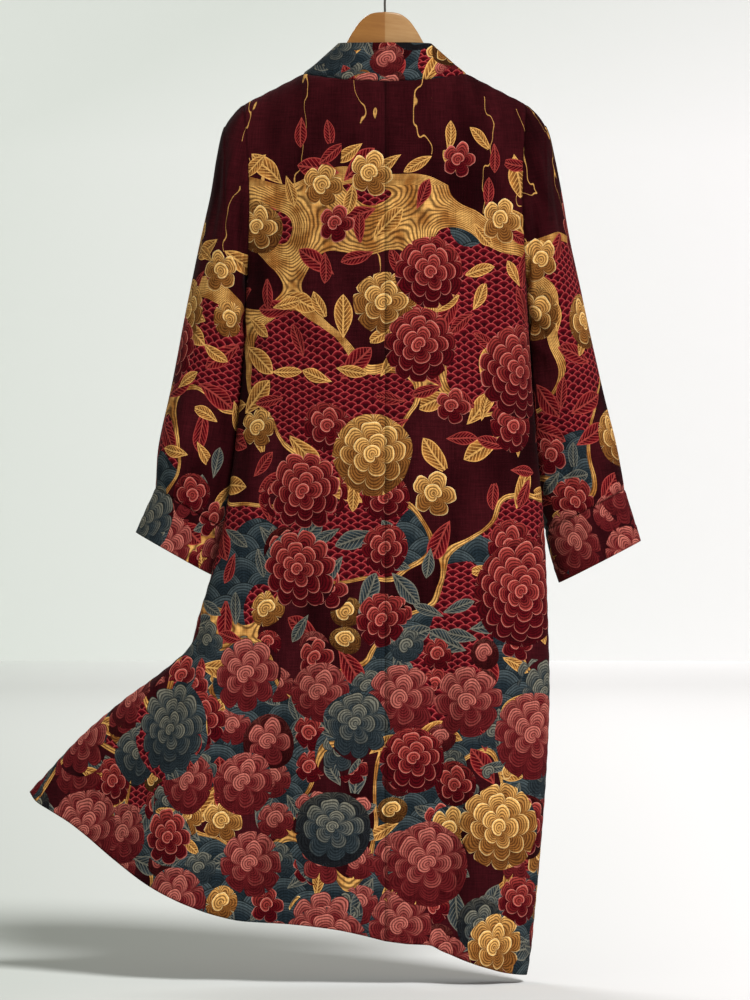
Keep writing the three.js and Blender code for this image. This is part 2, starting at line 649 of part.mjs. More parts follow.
const bodies = { left: bodyHalf(HALVES.left), right: bodyHalf(HALVES.right) };
const grids = {};
const outward = {};
for (const [name, body] of Object.entries(bodies)) {
  grids["back_" + name] = backGrid(body);
  grids["front_" + name] = frontGrid(body);
  const tubes = sleeveGrids(SLEEVES[name], armhole(grids["back_" + name], grids["front_" + name]), body);
  grids["sleeve_" + name] = tubes.sleeve;
  grids["cuff_" + name] = tubes.cuff;
  outward["back_" + name] = -body.sign;
  outward["front_" + name] = body.sign;
  outward["sleeve_" + name] = outward["cuff_" + name] = body.sign;
}
grids.collar_band = collarGrid(bodies, grids);
outward.collar_band = -1;

for (const [name, grid] of Object.entries(grids)) addNormals(grid, outward[name]);
shareNormals(Object.values(grids));

const cloth = new THREE.MeshStandardMaterial({ color: 0x5a1a22, roughness: 0.9, metalness: 0 });
const bandCloth = new THREE.MeshStandardMaterial({ color: 0x4a5156, roughness: 0.9, metalness: 0 });
const wood = new THREE.MeshStandardMaterial({ color: 0xb98a4e, roughness: 0.45, metalness: 0 });
const steel = new THREE.MeshStandardMaterial({ color: 0x6a6660, roughness: 0.3, metalness: 1 });

const robe = new THREE.Group();
function add(name, geometry, material) {
  const mesh = new THREE.Mesh(geometry, material);
  mesh.name = name;
  robe.add(mesh);
}
for (const [name, grid] of Object.entries(grids)) {
  drawIn(grid);
  if (name === "collar_band") add(name, wall(grid, BAND), bandCloth);
  else add(name, wall(grid, CLOTH), cloth);
}
add("hanger_body", hangerBody(wasm), wood);
add("hanger_hook", hangerHook(), steel);

export default robe;
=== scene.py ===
"""A long kimono robe on a wooden hanger, seen from behind, with one lower corner of the skirt blown out.

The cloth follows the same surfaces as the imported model, at a finer step, with creases, seams, hems and a
procedural print added. Shapes are in millimetres, and MM turns them into metres where a mesh is made. The
print, the stage, the lights and the camera are in metres.
"""
import math

import bpy
import numpy as np
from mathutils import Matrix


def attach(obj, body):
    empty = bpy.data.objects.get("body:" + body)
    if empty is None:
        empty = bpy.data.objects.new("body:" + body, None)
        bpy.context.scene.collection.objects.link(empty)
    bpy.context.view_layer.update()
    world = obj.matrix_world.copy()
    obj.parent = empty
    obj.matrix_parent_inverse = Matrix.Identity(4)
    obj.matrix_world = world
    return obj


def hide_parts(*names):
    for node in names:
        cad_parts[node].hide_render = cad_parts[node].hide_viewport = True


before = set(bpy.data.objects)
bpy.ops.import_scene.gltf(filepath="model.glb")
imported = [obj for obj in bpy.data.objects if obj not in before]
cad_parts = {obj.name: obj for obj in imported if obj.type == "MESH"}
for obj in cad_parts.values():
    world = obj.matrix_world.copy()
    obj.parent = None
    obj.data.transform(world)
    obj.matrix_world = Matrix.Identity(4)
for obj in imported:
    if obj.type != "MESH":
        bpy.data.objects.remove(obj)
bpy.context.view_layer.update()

MM = 0.001
FINE = 1.0

# ---- sizes that the surfaces follow ----
CLOTH = 1.3
BAND = 2.2
SQUARENESS = 2.8
FRONT_SQUARENESS = 2.4
NECK = dict(back_z=-173.5, side_x=115, side_z=-160.4, back_y=-46)
SHOULDER = dict(x=198, z=-202)
UNDERARM_Z = -450
ARMHOLE = dict(bow=6, bow_curve=1.5, back=54, front=46, rounding=0.4, reach=5)
SWEEP = dict(slope=0.15, soft=30, fade_z=-1100, least=0.4)
COLLAR = dict(width=62, top_z=-118.4, top_x=61, top_y=-21, squareness=3, tilt_curve=1.3, kick=4, stand=2)
OPENING = dict(x=76, v_depth=340, centre_z=-462, curve=1.5)
FRONT_HEM = dict(rise=12, join_curve=8)  # higher than the back's, and back to it close to the side seam
CENTRE_BACK_ROW_Z = -462
CENTRE_HEM_Z = -1369.5


def table(names, rows):
    """A short table with named columns, as arrays."""
    return dict(zip(names.split(), np.array(rows, float).T))


DEPTHS = table("z back front", [
    (-200, 68, 50), (-330, 74, 52), (-520, 68, 47), (-760, 62, 46), (-1000, 64, 50), (-1200, 70, 56),
    (-1450, 76, 60),
])
HALVES = {
    "left": dict(
        sign=-1, underarm_x=-193, flare=dict(from_x=262, span_x=239, drift=58, slim=0.3),
        side=table("x z", [
            (-193, -450), (-196, -545), (-205, -640), (-215, -724), (-229, -806), (-246, -872), (-262, -924),
            (-272, -960), (-294, -983), (-327, -1009), (-366, -1037), (-431, -1093), (-502, -1170),
        ]),
        hem=table("x z", [
            (0, -1369.5), (-32, -1361), (-77, -1352), (-133, -1346), (-198, -1343.5), (-226, -1338),
            (-256, -1329), (-290, -1316), (-336, -1292), (-376, -1264), (-428, -1223), (-466, -1198),
            (-492, -1183), (-502, -1170),
        ]),
    ),
    "right": dict(
        sign=1, underarm_x=198, flare=dict(from_x=400, span_x=100, drift=0, slim=0),
        side=table("x z", [
            (198, -450), (203, -550), (213, -686), (223, -800), (228, -925), (230, -1030), (225, -1150),
            (216, -1260), (208, -1350), (205, -1382), (198, -1421),
        ]),
        hem=table("x z", [
            (0, -1369.5), (31, -1373.5), (62, -1376), (79, -1384), (101, -1393), (133, -1405), (168, -1416),
            (198, -1421),
        ]),
    ),
}
SLEEVES = {
    "left": table("ox oz ix iz half y", [
        (-198, -202, -193, -450, 50, 23), (-212, -214, -194.5, -451, 52, 26),
        (-226, -236, -194, -458, 54, 30), (-235, -275, -192, -470, 56, 35),
        (-244, -326, -190, -490, 57, 41), (-259, -390, -188, -522, 57, 47),
        (-275, -470, -187, -568, 56, 52), (-299, -588, -192, -646, 54, 56), (-318, -678, -206, -730, 50, 58),
        (-323, -740, -226, -799, 44, 58), (-336, -770, -236, -830, 44, 58), (-350, -803, -246, -862, 46, 58),
    ]),
    "right": table("ox oz ix iz half y", [
        (198, -202, 198, -450, 50, 23), (215, -217, 199.5, -451, 52, 26), (229, -240, 199, -458, 54, 30),
        (238, -275, 197, -470, 56, 35), (249, -330, 195, -490, 57, 41), (261, -394, 194, -522, 57, 47),
        (278, -472, 194, -568, 56, 52), (303, -588, 200, -646, 54, 56), (324, -672, 212, -730, 50, 58),
        (338, -742, 227, -800, 44, 58), (348, -778, 236, -838, 44, 58), (359, -815, 247, -873, 46, 58),
    ]),
}
CUFF_SEAM_ROW = 9
SLEEVE_SETTLES = 3
SLEEVE_CLEAR = 2.0

# Mesh fineness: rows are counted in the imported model's rows, and each is split into finer ones.
ARM_ROWS, LOW_ROWS = 12, 20
ARM_SHARE = 0.26
ARM_STEPS = int(6 * FINE)
LOW_STEPS = int(12 * FINE)
NECK_COLUMNS = int(30 * FINE)
SIDE_COLUMNS = int(60 * FINE)
RING_STEPS = int(14 * FINE)
BAND_STRIPS = int(14 * FINE)


# ---- curves and tables ----
def lerp(a, b, t):
    return a + (b - a) * t


def smooth(t):
    t = np.clip(t, 0, 1)
    return t * t * (3 - 2 * t)


def lean(x, soft=SWEEP["soft"]):
    """How far the shoulders, and what hangs from them, come forward at x."""
    return SWEEP["slope"] * (np.hypot(x, soft) - soft)


def hermite(at, values, s):
    """A smooth line through values at the places in at, read at s."""
    slopes = np.empty_like(values)
    slopes[1:-1] = (values[2:] - values[:-2]) / (at[2:] - at[:-2])
    slopes[0] = (values[1] - values[0]) / (at[1] - at[0])
    slopes[-1] = (values[-1] - values[-2]) / (at[-1] - at[-2])
    s = np.clip(s, at[0], at[-1])
    i = np.clip(np.searchsorted(at, s, side="right") - 1, 0, len(at) - 2)
    span = at[i + 1] - at[i]
    u = (s - at[i]) / span
    p, q, m, k = values[i], values[i + 1], slopes[i] * span, slopes[i + 1] * span
    return p + u * (m + u * (3 * (q - p) - 2 * m - k + u * (2 * (p - q) + m + k)))


def track(rows, t, by_row=False):
    """The table's columns along a smooth line through its rows, t from 0 to 1."""
    columns = np.array(list(rows.values()))
    steps = np.ones(columns.shape[1] - 1) if by_row else np.linalg.norm(np.diff(columns, axis=1), axis=0)
    at = np.concatenate([[0], np.cumsum(steps)])
    return {name: hermite(at, column, np.asarray(t) * at[-1]) for name, column in rows.items()}


def look_up(rows, key, name, value):
    """One column of the table at a given value of another, joined smoothly."""
    keys, values = rows[key], rows[name]
    if keys[-1] < keys[0]:
        keys, values = keys[::-1], values[::-1]
    return hermite(keys, values, value)


# ---- creases and folds ----
# Each runs from (x, z) to (to_x, to_z); width is half its breadth, and a depth over 0 is a ridge.
FOLD_COLUMNS = "x z to_x to_z width depth"
BACK_FOLDS = table(FOLD_COLUMNS, [
    (-150, -230, -128, -520, 17, -4), (-172, -215, -166, -560, 15, 4), (150, -235, 122, -500, 18, -4),
    (174, -225, 172, -640, 16, 5), (-62, -600, -96, -1360, 34, 6), (-120, -800, -196, -1350, 32, -8),
    (-190, -880, -318, -1320, 34, 9), (-238, -940, -424, -1240, 28, -8), (88, -900, 70, -1395, 26, -11),
    (112, -760, 126, -1400, 30, 8), (18, -980, 8, -1380, 30, -5), (180, -900, 176, -1410, 18, -5),
])
FRONT_FOLDS = table(FOLD_COLUMNS, [
    (-140, -240, -120, -620, 20, 4), (142, -240, 124, -640, 20, 4), (-130, -620, -200, -1330, 30, -7),
    (-170, -820, -300, -1290, 32, 8), (118, -700, 120, -1390, 24, 7), (160, -800, 164, -1390, 20, -6),
])


FOLD_END = dict(grows_over=0.4, runs_on=1.2)  # as shares of the fold's length


def fold_depth(folds, x, z):
    """How far the folds move the cloth outwards at each place."""
    total = np.zeros_like(x)
    for row in np.array(list(folds.values())).T:
        fx, fz, to_x, to_z, width, depth = row
        dx, dz = to_x - fx, to_z - fz
        along = np.clip(((x - fx) * dx + (z - fz) * dz) / (dx * dx + dz * dz), 0, FOLD_END["runs_on"])
        off = np.hypot(x - fx - along * dx, z - fz - along * dz)
        total += depth * np.exp(-((off / width) ** 2)) * smooth(along / FOLD_END["grows_over"])
    return total


# ---- the body's surfaces ----
def across(angle):
    """The share of the half width at an angle round the body, 0 at the middle."""
    return np.sin(angle) ** (2 / SQUARENESS)


def angle_of(u):
    return np.arcsin(np.clip(u, 0, 1) ** (SQUARENESS / 2))


def closing(u, power):
    """The share of the full depth that is left at u, which closes to 0 at 1."""
    return np.maximum(0, 1 - np.clip(u, 0, 1) ** power) ** (1 / power)


def stand_off(u, full, edge, power):
    """The depth at u of a wall that is full deep at its middle and edge deep at its side."""
    full = np.maximum(full, 1e-6)
    share = np.minimum(1, edge / full) ** (power * (1 + ARMHOLE["reach"] * (1 - u)))
    return full * np.maximum(0, 1 - u**power * (1 - share)) ** (1 / power)


def row_facts(k):
    """At row k: the turn round the armhole, the shares of the way down it and below it, and the fullness."""
    turn = np.pi * np.minimum(k, ARM_ROWS) / ARM_ROWS
    drop = (1 - np.cos(turn)) / 2
    low = np.maximum(0, k - ARM_ROWS) / LOW_ROWS
    rounded = np.sqrt(1 - (1 - np.minimum(1, drop / ARMHOLE["rounding"])) ** 2)
    return turn, drop, low, rounded


class Body:
    """One half of the robe's body: its back and its front wall."""

    def __init__(self, name):
        self.half = HALVES[name]
        self.sign = self.half["sign"]
        self.outline = dict(x=np.abs(self.half["hem"]["x"]), z=self.half["hem"]["z"])

    def side(self, k):
        _, drop, low, _ = row_facts(k)
        seam = track(self.half["side"], low)
        bow = ARMHOLE["bow"] * (4 * drop * (1 - drop)) ** ARMHOLE["bow_curve"]
        arm_x = lerp(self.sign * SHOULDER["x"], self.half["underarm_x"], drop) - self.sign * bow
        arm_z = lerp(SHOULDER["z"], UNDERARM_Z, drop)
        below = k > ARM_ROWS
        return np.where(below, seam["x"], arm_x), np.where(below, seam["z"], arm_z)

    def centre(self, k):
        _, drop, low, _ = row_facts(k)
        arm_z = lerp(NECK["back_z"], CENTRE_BACK_ROW_Z, drop)
        return 0 * drop, np.where(k > ARM_ROWS, lerp(CENTRE_BACK_ROW_Z, CENTRE_HEM_Z, low), arm_z)

    def hem_z(self, x):
        return look_up(self.outline, "x", "z", np.abs(x))

    def opening(self, k):
        _, drop, low, _ = row_facts(k)
        hem = self.hem_z(OPENING["x"]) + FRONT_HEM["rise"]
        arm_z = lerp(NECK["side_z"], OPENING["centre_z"], drop)
        z = np.where(k > ARM_ROWS, lerp(OPENING["centre_z"], hem, low), arm_z)
        rise = np.clip(1 - (NECK["side_z"] - z) / OPENING["v_depth"], 0, 1) ** OPENING["curve"]
        return self.sign * lerp(OPENING["x"], NECK["side_x"], rise), z

    def top_back(self, u):
        x = u * SHOULDER["x"]
        neck = lerp(NECK["back_z"], NECK["side_z"], (x / NECK["side_x"]) ** 2)
        share = (x - NECK["side_x"]) / (SHOULDER["x"] - NECK["side_x"])
        return self.sign * x, np.where(x < NECK["side_x"], neck, lerp(NECK["side_z"], SHOULDER["z"], share))

    def top_front(self, u):
        return self.sign * lerp(NECK["side_x"], SHOULDER["x"], u), lerp(NECK["side_z"], SHOULDER["z"], u)

    def hem_back(self, u):
        found = track(self.half["hem"], u)
        return found["x"], found["z"]

    def hem_front(self, u):
        x = lerp(self.sign * OPENING["x"], self.half["hem"]["x"][-1], u)
        return x, self.hem_z(x) + FRONT_HEM["rise"] * (1 - u ** FRONT_HEM["join_curve"])

    def patch(self, u, k, inner, top, bottom):
        """A sheet stretched between four edges."""
        _, drop, low, _ = row_facts(k)
        v = ARM_SHARE * drop + (1 - ARM_SHARE) * low
        found = []
        for axis in (0, 1):
            side, middle = self.side(k)[axis], inner(k)[axis]
            zero, one = np.zeros(1), np.ones(1)
            a, b, c, d = top(zero)[axis], top(one)[axis], bottom(zero)[axis], bottom(one)[axis]
            corners = lerp(lerp(a, b, u), lerp(c, d, u), v)
            found.append(lerp(middle, side, u) + lerp(top(u)[axis], bottom(u)[axis], v) - corners)
        return found

    def carried(self, x, z):
        """How far forward the shoulders and the blown corner carry the cloth."""
        fade = lerp(1, SWEEP["least"], np.clip((z - SHOULDER["z"]) / (SWEEP["fade_z"] - SHOULDER["z"]), 0, 1))
        flare = self.half["flare"]
        blown = (self.sign * x - flare["from_x"]) / flare["span_x"]
        return lean(x) * fade + flare["drift"] * smooth(blown)

    def slimmed(self, x):
        """The share of its depth that the skirt keeps towards the blown corner."""
        flare = self.half["flare"]
        return 1 - flare["slim"] * np.clip((self.sign * x - flare["from_x"] / 2) / flare["span_x"], 0, 1)

    def back(self, k, angle):
        turn, _, _, rounded = row_facts(k)
        u = across(angle)
        x, z = self.patch(u, k, self.centre, self.top_back, self.hem_back)
        hole = ARMHOLE["back"] * np.sin(turn)
        reach = np.clip(u * SHOULDER["x"] / NECK["side_x"], 0, 1)
        neck = NECK["back_y"] * np.sqrt(1 - reach**2)
        full = look_up(DEPTHS, "z", "back", z) * rounded * self.slimmed(x)
        fold = fold_depth(BACK_FOLDS, x, z) * closing(u, SQUARENESS) * rounded
        y = neck * (1 - rounded) - stand_off(u, full, hole, SQUARENESS) - fold + self.carried(x, z)
        return np.stack([x, y, z], -1)

    def front(self, k, share):
        turn, _, _, rounded = row_facts(k)
        edge = self.opening(k)[0] / self.side(k)[0]
        u = across(lerp(angle_of(edge), np.pi / 2, share))
        x, z = self.patch((u - edge) / (1 - edge), k, self.opening, self.top_front, self.hem_front)
        hole = ARMHOLE["front"] * np.sin(turn)
        full = look_up(DEPTHS, "z", "front", z) * rounded * self.slimmed(x)
        fold = fold_depth(FRONT_FOLDS, x, z) * closing(u, FRONT_SQUARENESS) * rounded
        y = stand_off(u, full, hole, FRONT_SQUARENESS) + fold + self.carried(x, z)
        return np.stack([x, y, z], -1)

    def off_body(self, p, clearance):
        """Moves a sleeve's points sideways until they are clear of the body."""
        x, y, z = np.moveaxis(p, -1, 0)
        side = np.abs(look_up(self.half["side"], "z", "x", z)) + clearance
        offset = y - self.carried(self.sign * side, z)
        depth = np.where(offset < 0, look_up(DEPTHS, "z", "back", z), look_up(DEPTHS, "z", "front", z))
        power = np.where(offset < 0, SQUARENESS, FRONT_SQUARENESS)
        least = np.where(z < UNDERARM_Z, side * closing(np.abs(offset) / (depth + clearance), power), 0)
        return np.stack([self.sign * np.maximum(self.sign * x, least), y, z], -1)


# ---- grids of points ----
def body_rows():
    arm = np.arange(0, ARM_ROWS * ARM_STEPS) / ARM_STEPS
    low = ARM_ROWS + np.arange(0, LOW_ROWS * LOW_STEPS + 1) / LOW_STEPS
    return np.concatenate([arm, low])


def back_grid(body):
    neck_angle = angle_of(NECK["side_x"] / SHOULDER["x"])
    neck = np.linspace(0, neck_angle, NECK_COLUMNS, endpoint=False)
    angles = np.concatenate([neck, np.linspace(neck_angle, np.pi / 2, SIDE_COLUMNS + 1)])
    return body.back(body_rows()[:, None], angles[None, :])


def front_grid(body):
    return body.front(body_rows()[:, None], np.linspace(0, 1, SIDE_COLUMNS + 1)[None, :])


def armhole(back, front):
    count = ARM_ROWS * ARM_STEPS
    return np.concatenate([back[:count, -1], front[count:0:-1, -1]])


def ring_at(rows, row):
    found = track(rows, row / (len(rows["y"]) - 1), by_row=True)
    turn = np.pi * np.arange(2 * ARM_ROWS * ARM_STEPS) / (ARM_ROWS * ARM_STEPS)
    middle_x, middle_z = (found["ox"] + found["ix"]) / 2, (found["oz"] + found["iz"]) / 2
    out = np.cos(turn)
    x = lerp(middle_x, found["ox"], out)
    z = lerp(middle_z, found["oz"], out)
    return np.stack([x, found["y"] - found["half"] * np.sin(turn), z], -1)


def sleeve_grids(rows, hole, body):
    """The sleeve and its cuff, as rings from the armhole to the cuff's hem."""
    start = ring_at(rows, np.zeros(1))
    rings = []
    last = len(rows["y"]) - 1
    for n in range(last * RING_STEPS + 1):
        row = n / RING_STEPS
        keep = 1 - smooth(row / SLEEVE_SETTLES)
        shaped = ring_at(rows, np.array([row])) + keep * (hole - start)
        rings.append(hole if n == 0 else body.off_body(shaped, SLEEVE_CLEAR * min(1, row)))
    seam = CUFF_SEAM_ROW * RING_STEPS
    rings = np.array(rings)
    return rings[: seam + 1], rings[seam:]


def collar_grid(bodies, grids):
    """The band, from the left front's hem up round the neck and down to the right front's."""
    def front_edge(name):
        sign = bodies[name].sign
        seam = grids["front_" + name][:, 0]
        rise = np.clip(1 - (NECK["side_z"] - seam[:, 2]) / OPENING["v_depth"], 0, 1)
        slope = math.atan2(COLLAR["top_z"] - NECK["side_z"], NECK["side_x"] - COLLAR["top_x"])
        tilt = slope * rise ** COLLAR["tilt_curve"]
        outwards = COLLAR["kick"] * (1 - rise) + COLLAR["stand"]
        return seam, seam + np.stack([
            -sign * COLLAR["width"] * np.cos(tilt), outwards, COLLAR["width"] * np.sin(tilt),
        ], -1)

    def neck_edge(name):
        seam = grids["back_" + name][0, :NECK_COLUMNS]
        out = np.abs(seam[:, 0]) / NECK["side_x"]
        side = front_edge(name)[1][0]
        y = lerp(side[1], COLLAR["top_y"], closing(out, COLLAR["squareness"]))
        return seam, np.stack([side[0] * out, y, np.full_like(out, COLLAR["top_z"])], -1)

    stretches = [[part[::-1] for part in front_edge("left")], [part[::-1] for part in neck_edge("left")],
                 [part[1:] for part in neck_edge("right")], front_edge("right")]
    seam = np.concatenate([s[0] for s in stretches])
    free = np.concatenate([s[1] for s in stretches])
    share = np.linspace(0, 1, BAND_STRIPS + 1)[None, :, None]
    return lerp(seam[:, None], free[:, None], share)


# ---- fine form ----
# Creases finer than the folds above, in the same columns.
BACK_CREASES = table(FOLD_COLUMNS, [
    (-197, -300, -190, -470, 7, 2.0), (-162, -240, -150, -430, 7, -1.8), (-115, -230, -104, -420, 9, 1.6),
    (-60, -215, -52, -330, 12, -1.2), (62, -215, 55, -340, 12, 1.2), (123, -250, 118, -470, 8, 2.2),
    (160, -300, 148, -520, 7, -1.8), (192, -330, 184, -640, 7, 1.8), (-190, -452, -96, -520, 9, 2.0),
    (-190, -470, -70, -585, 11, -1.8), (192, -455, 104, -530, 9, 2.0), (194, -475, 84, -600, 11, -1.6),
    (-96, -560, -30, -690, 16, 1.3), (60, -600, 110, -760, 16, -1.6), (-180, -640, -206, -900, 9, 2.0),
    (-150, -700, -190, -980, 12, -2.2), (-40, -760, -58, -1180, 14, 2.0), (34, -800, 40, -1290, 13, -2.0),
    (150, -700, 158, -1180, 11, 2.4), (196, -760, 200, -1300, 8, -1.8), (-210, -860, -300, -1120, 12, 3.0),
    (-228, -900, -372, -1150, 12, -3.0), (-242, -930, -440, -1160, 11, 2.8),
    (-160, -960, -244, -1300, 14, 2.6), (-150, -1010, -180, -1340, 13, -2.6),
    (-60, -1060, -64, -1340, 12, -2.2), (60, -1100, 52, -1365, 12, 2.4), (100, -1120, 92, -1385, 11, -2.6),
    (140, -1160, 146, -1400, 10, 2.6), (178, -1120, 170, -1410, 9, -2.4),
    (-300, -1060, -400, -1130, 12, 2.0), (-330, -1120, -430, -1200, 12, -2.0),
    (-20, -700, 30, -740, 14, -1.0),
])
FRONT_CREASES = table(FOLD_COLUMNS, [
    (-110, -260, -98, -480, 10, 2.0), (112, -260, 100, -500, 10, 2.0), (-186, -470, -110, -560, 10, 2.0),
    (188, -470, 110, -570, 10, -2.0), (-100, -640, -120, -1300, 14, -2.4), (104, -660, 100, -1350, 14, 2.4),
    (-190, -760, -280, -1200, 14, 2.6), (150, -760, 150, -1340, 12, -2.4), (190, -760, 188, -1340, 10, 2.0),
])
# A sleeve's creases run between (row, turn) places: the row down its table, and the half turns round it,
# where 0 is its outer edge, 0.5 the back and 1 its inner edge.
SLEEVE_CREASES = table("row turn to_row to_turn width depth", [
    (0.5, 0.30, 4.0, 0.42, 12, 3.0), (0.8, 0.50, 3.6, 0.62, 12, -3.0), (1.2, 0.72, 4.8, 0.66, 11, 3.2),
    (2.0, 0.20, 6.0, 0.26, 13, -3.0), (3.4, 0.85, 6.2, 0.52, 12, 3.6), (4.4, 0.90, 6.6, 0.44, 11, -3.4),
    (5.2, 0.88, 7.0, 0.36, 12, 3.4), (5.8, 0.16, 7.4, 0.40, 13, -2.8), (6.4, 0.30, 8.8, 0.30, 12, 2.6),
    (6.6, 0.62, 8.9, 0.56, 11, -2.8), (7.2, 0.78, 9.0, 0.74, 10, 2.4), (7.4, 0.46, 9.0, 0.44, 9, 2.0),
    (2.6, 1.30, 6.8, 1.40, 16, 3.0), (4.0, 1.65, 8.0, 1.55, 16, -3.0),
])
PUCKER = dict(depth=0.45, reach=9, wave=23)  # the cloth's small gathers along a seam
GROOVE = dict(depth=1.1, reach=3.2)  # a seam's dip
CENTRE_SEAM = 0.4  # how much of that the pressed seam down the back keeps
HEM = dict(band=24, lift=0.7, edge=1.5)  # the turned-up hem stands out by its own thickness
FADE = dict(side=25, edge=30, armhole=22, cuff=12, band=8)  # creases grow within this distance of a seam


def unevenness(x, z):
    """The slight waviness of cloth that hangs free."""
    broad = np.sin(x / 31 + z / 97 + 1.3) * np.sin(z / 83 - x / 140)
    fine = np.sin(x / 17 - z / 61) * np.sin(z / 47 + x / 90 + 0.7)
    return 0.9 * broad + 0.45 * fine


def seam_relief(distance, along):
    """A dip at the seam with small gathers on both sides."""
    near = np.exp(-((distance / PUCKER["reach"]) ** 2))
    gathers = PUCKER["depth"] * near * np.sin(2 * np.pi * along / PUCKER["wave"])
    return gathers - GROOVE["depth"] * np.exp(-((distance / GROOVE["reach"]) ** 2))


def hem_relief(distance):
    return HEM["lift"] * smooth((HEM["band"] - distance) / HEM["edge"])


def lengths(p, axis):
    """Distance travelled along the grid's rows (axis 0) or columns (axis 1), from the first one."""
    steps = np.linalg.norm(np.diff(p, axis=axis), axis=-1)
    start = np.zeros_like(np.take(steps, [0], axis))
    return np.concatenate([start, np.cumsum(steps, axis)], axis)


def normals(p, ring):
    """The grid's unit normals; a ring's last column joins its first."""
    if ring:
        across_row = np.roll(p, -1, 1) - np.roll(p, 1, 1)
    else:
        across_row = np.gradient(p, axis=1)
    n = np.cross(across_row, np.gradient(p, axis=0))
    return n / np.maximum(np.linalg.norm(n, axis=-1, keepdims=True), 1e-9)


# Where each piece's cut lies on the printed cloth, in mm.
FRONT_PRINT = 620
SLEEVE_PRINT = 2400
BAND_PRINT = 3000
NO_SEAM, NO_HEM = 99.0, 999.0  # distances in mm before any seam or hem is added


class Panel:
    """A grid of points in mm with its normals, its cloth coordinates and its distance from seams and hems."""

    def __init__(self, p, outward, ring=False):
        self.p, self.ring = p, ring
        self.n = normals(p, ring) * outward
        self.down, self.along = lengths(p, 0), lengths(p, 1)
        self.seam = np.full(p.shape[:2], NO_SEAM)
        self.hem = np.full(p.shape[:2], NO_HEM)
        self.relief = np.zeros(p.shape[:2])
        self.hemmed = False

    def add_seam(self, distance, along, strength=1.0):
        self.relief += strength * seam_relief(distance, along)
        self.seam = np.minimum(self.seam, distance / strength)

    def add_hem(self, distance):
        self.hemmed = True
        self.relief += hem_relief(distance)
        self.hem = np.minimum(self.hem, distance)

    def moved(self):
        return self.p + self.n * self.relief[..., None]


def body_panel(body, is_back):
    """A back or a front panel, with a seam at its top and at both sides, and a hem."""
    sign = body.sign
    panel = Panel(back_grid(body), -sign) if is_back else Panel(front_grid(body), sign)
    x, _, z = np.moveaxis(panel.p, -1, 0)
    from_side = panel.along[:, -1:] - panel.along
    shown = smooth(from_side / FADE["side"])
    if not is_back:
        shown = shown * smooth(panel.along / FADE["edge"])
    creases = BACK_CREASES if is_back else FRONT_CREASES
    panel.relief += shown * smooth(panel.down / FADE["edge"]) * (fold_depth(creases, x, z) + unevenness(x, z))
    panel.add_seam(panel.along, panel.down, CENTRE_SEAM if is_back else 1.0)
    panel.add_seam(from_side, panel.down)
    panel.add_seam(panel.down, panel.along)
    panel.add_hem(panel.down[-1:] - panel.down)
    panel.u, panel.v = sign * (panel.along if is_back else FRONT_PRINT + from_side), z
    return panel


FRONT_TURN = 1.5  # a tube's first column runs down its front
SLEEVE_RADIUS = 60
PRESSED = dict(below=130, x=225, depth=1.2)  # where a sleeve lies flat against the body's side
SLEEVE_WAVES, CUFF_WAVES, BAND_WAVES = 0.8, 0.6, 0.5  # how uneven each is, as a share of the body's cloth
CUFF_LIFT = 0.8  # the doubled cuff stands out
CREASE_ENDS = (0.08, 0.92)  # a sleeve's creases keep some depth at their ends


def tube_cloth(p, rows):
    """The cloth coordinates of a sleeve's points: round its middle line and down along it."""
    x, y, z = np.moveaxis(np.concatenate([p, p[:, :1]], 1), -1, 0)
    middle_x, middle_z = (rows["ox"] + rows["ix"]) / 2, (rows["oz"] + rows["iz"]) / 2
    way = np.array([middle_x[-1] - middle_x[0], middle_z[-1] - middle_z[0]])
    way /= np.hypot(*way)
    down = x * way[0] + z * way[1]
    middle_down = middle_x * way[0] + middle_z * way[1]
    off_x, off_z = x - np.interp(down, middle_down, middle_x), z - np.interp(down, middle_down, middle_z)
    off_y = y - np.interp(down, middle_down, rows["y"])
    angle = np.unwrap(np.arctan2(off_x * way[1] - off_z * way[0], -off_y), axis=1)
    angle -= 2 * np.pi * np.round(angle[:, angle.shape[1] // 2] / (2 * np.pi))[:, None]
    return SLEEVE_RADIUS * angle, SHOULDER["z"] - (down - middle_down[0])


def sleeve_creases(p):
    """How far the creases move a sleeve's points outwards."""
    ring_length = np.linalg.norm(np.roll(p, -1, 1) - p, axis=-1).sum(1).mean()
    rows = np.arange(p.shape[0])[:, None] / RING_STEPS
    turn = 2 * np.arange(p.shape[1])[None, :] / p.shape[1] + FRONT_TURN
    a_row = lengths(p, 0)[-1].mean() / max(1, p.shape[0] - 1) * RING_STEPS
    total = np.zeros(p.shape[:2])
    for row, at, to_row, to_turn, width, depth in np.array(list(SLEEVE_CREASES.values())).T:
        share = np.clip((rows - row) / (to_row - row), 0, 1)
        sideways = (turn - lerp(at, to_turn, share) + 1) % 2 - 1
        off = np.hypot(sideways * ring_length / 2, (rows - lerp(row, to_row, share)) * a_row)
        total += depth * np.exp(-((off / width) ** 2)) * np.sin(np.pi * np.clip(share, *CREASE_ENDS))
    return total


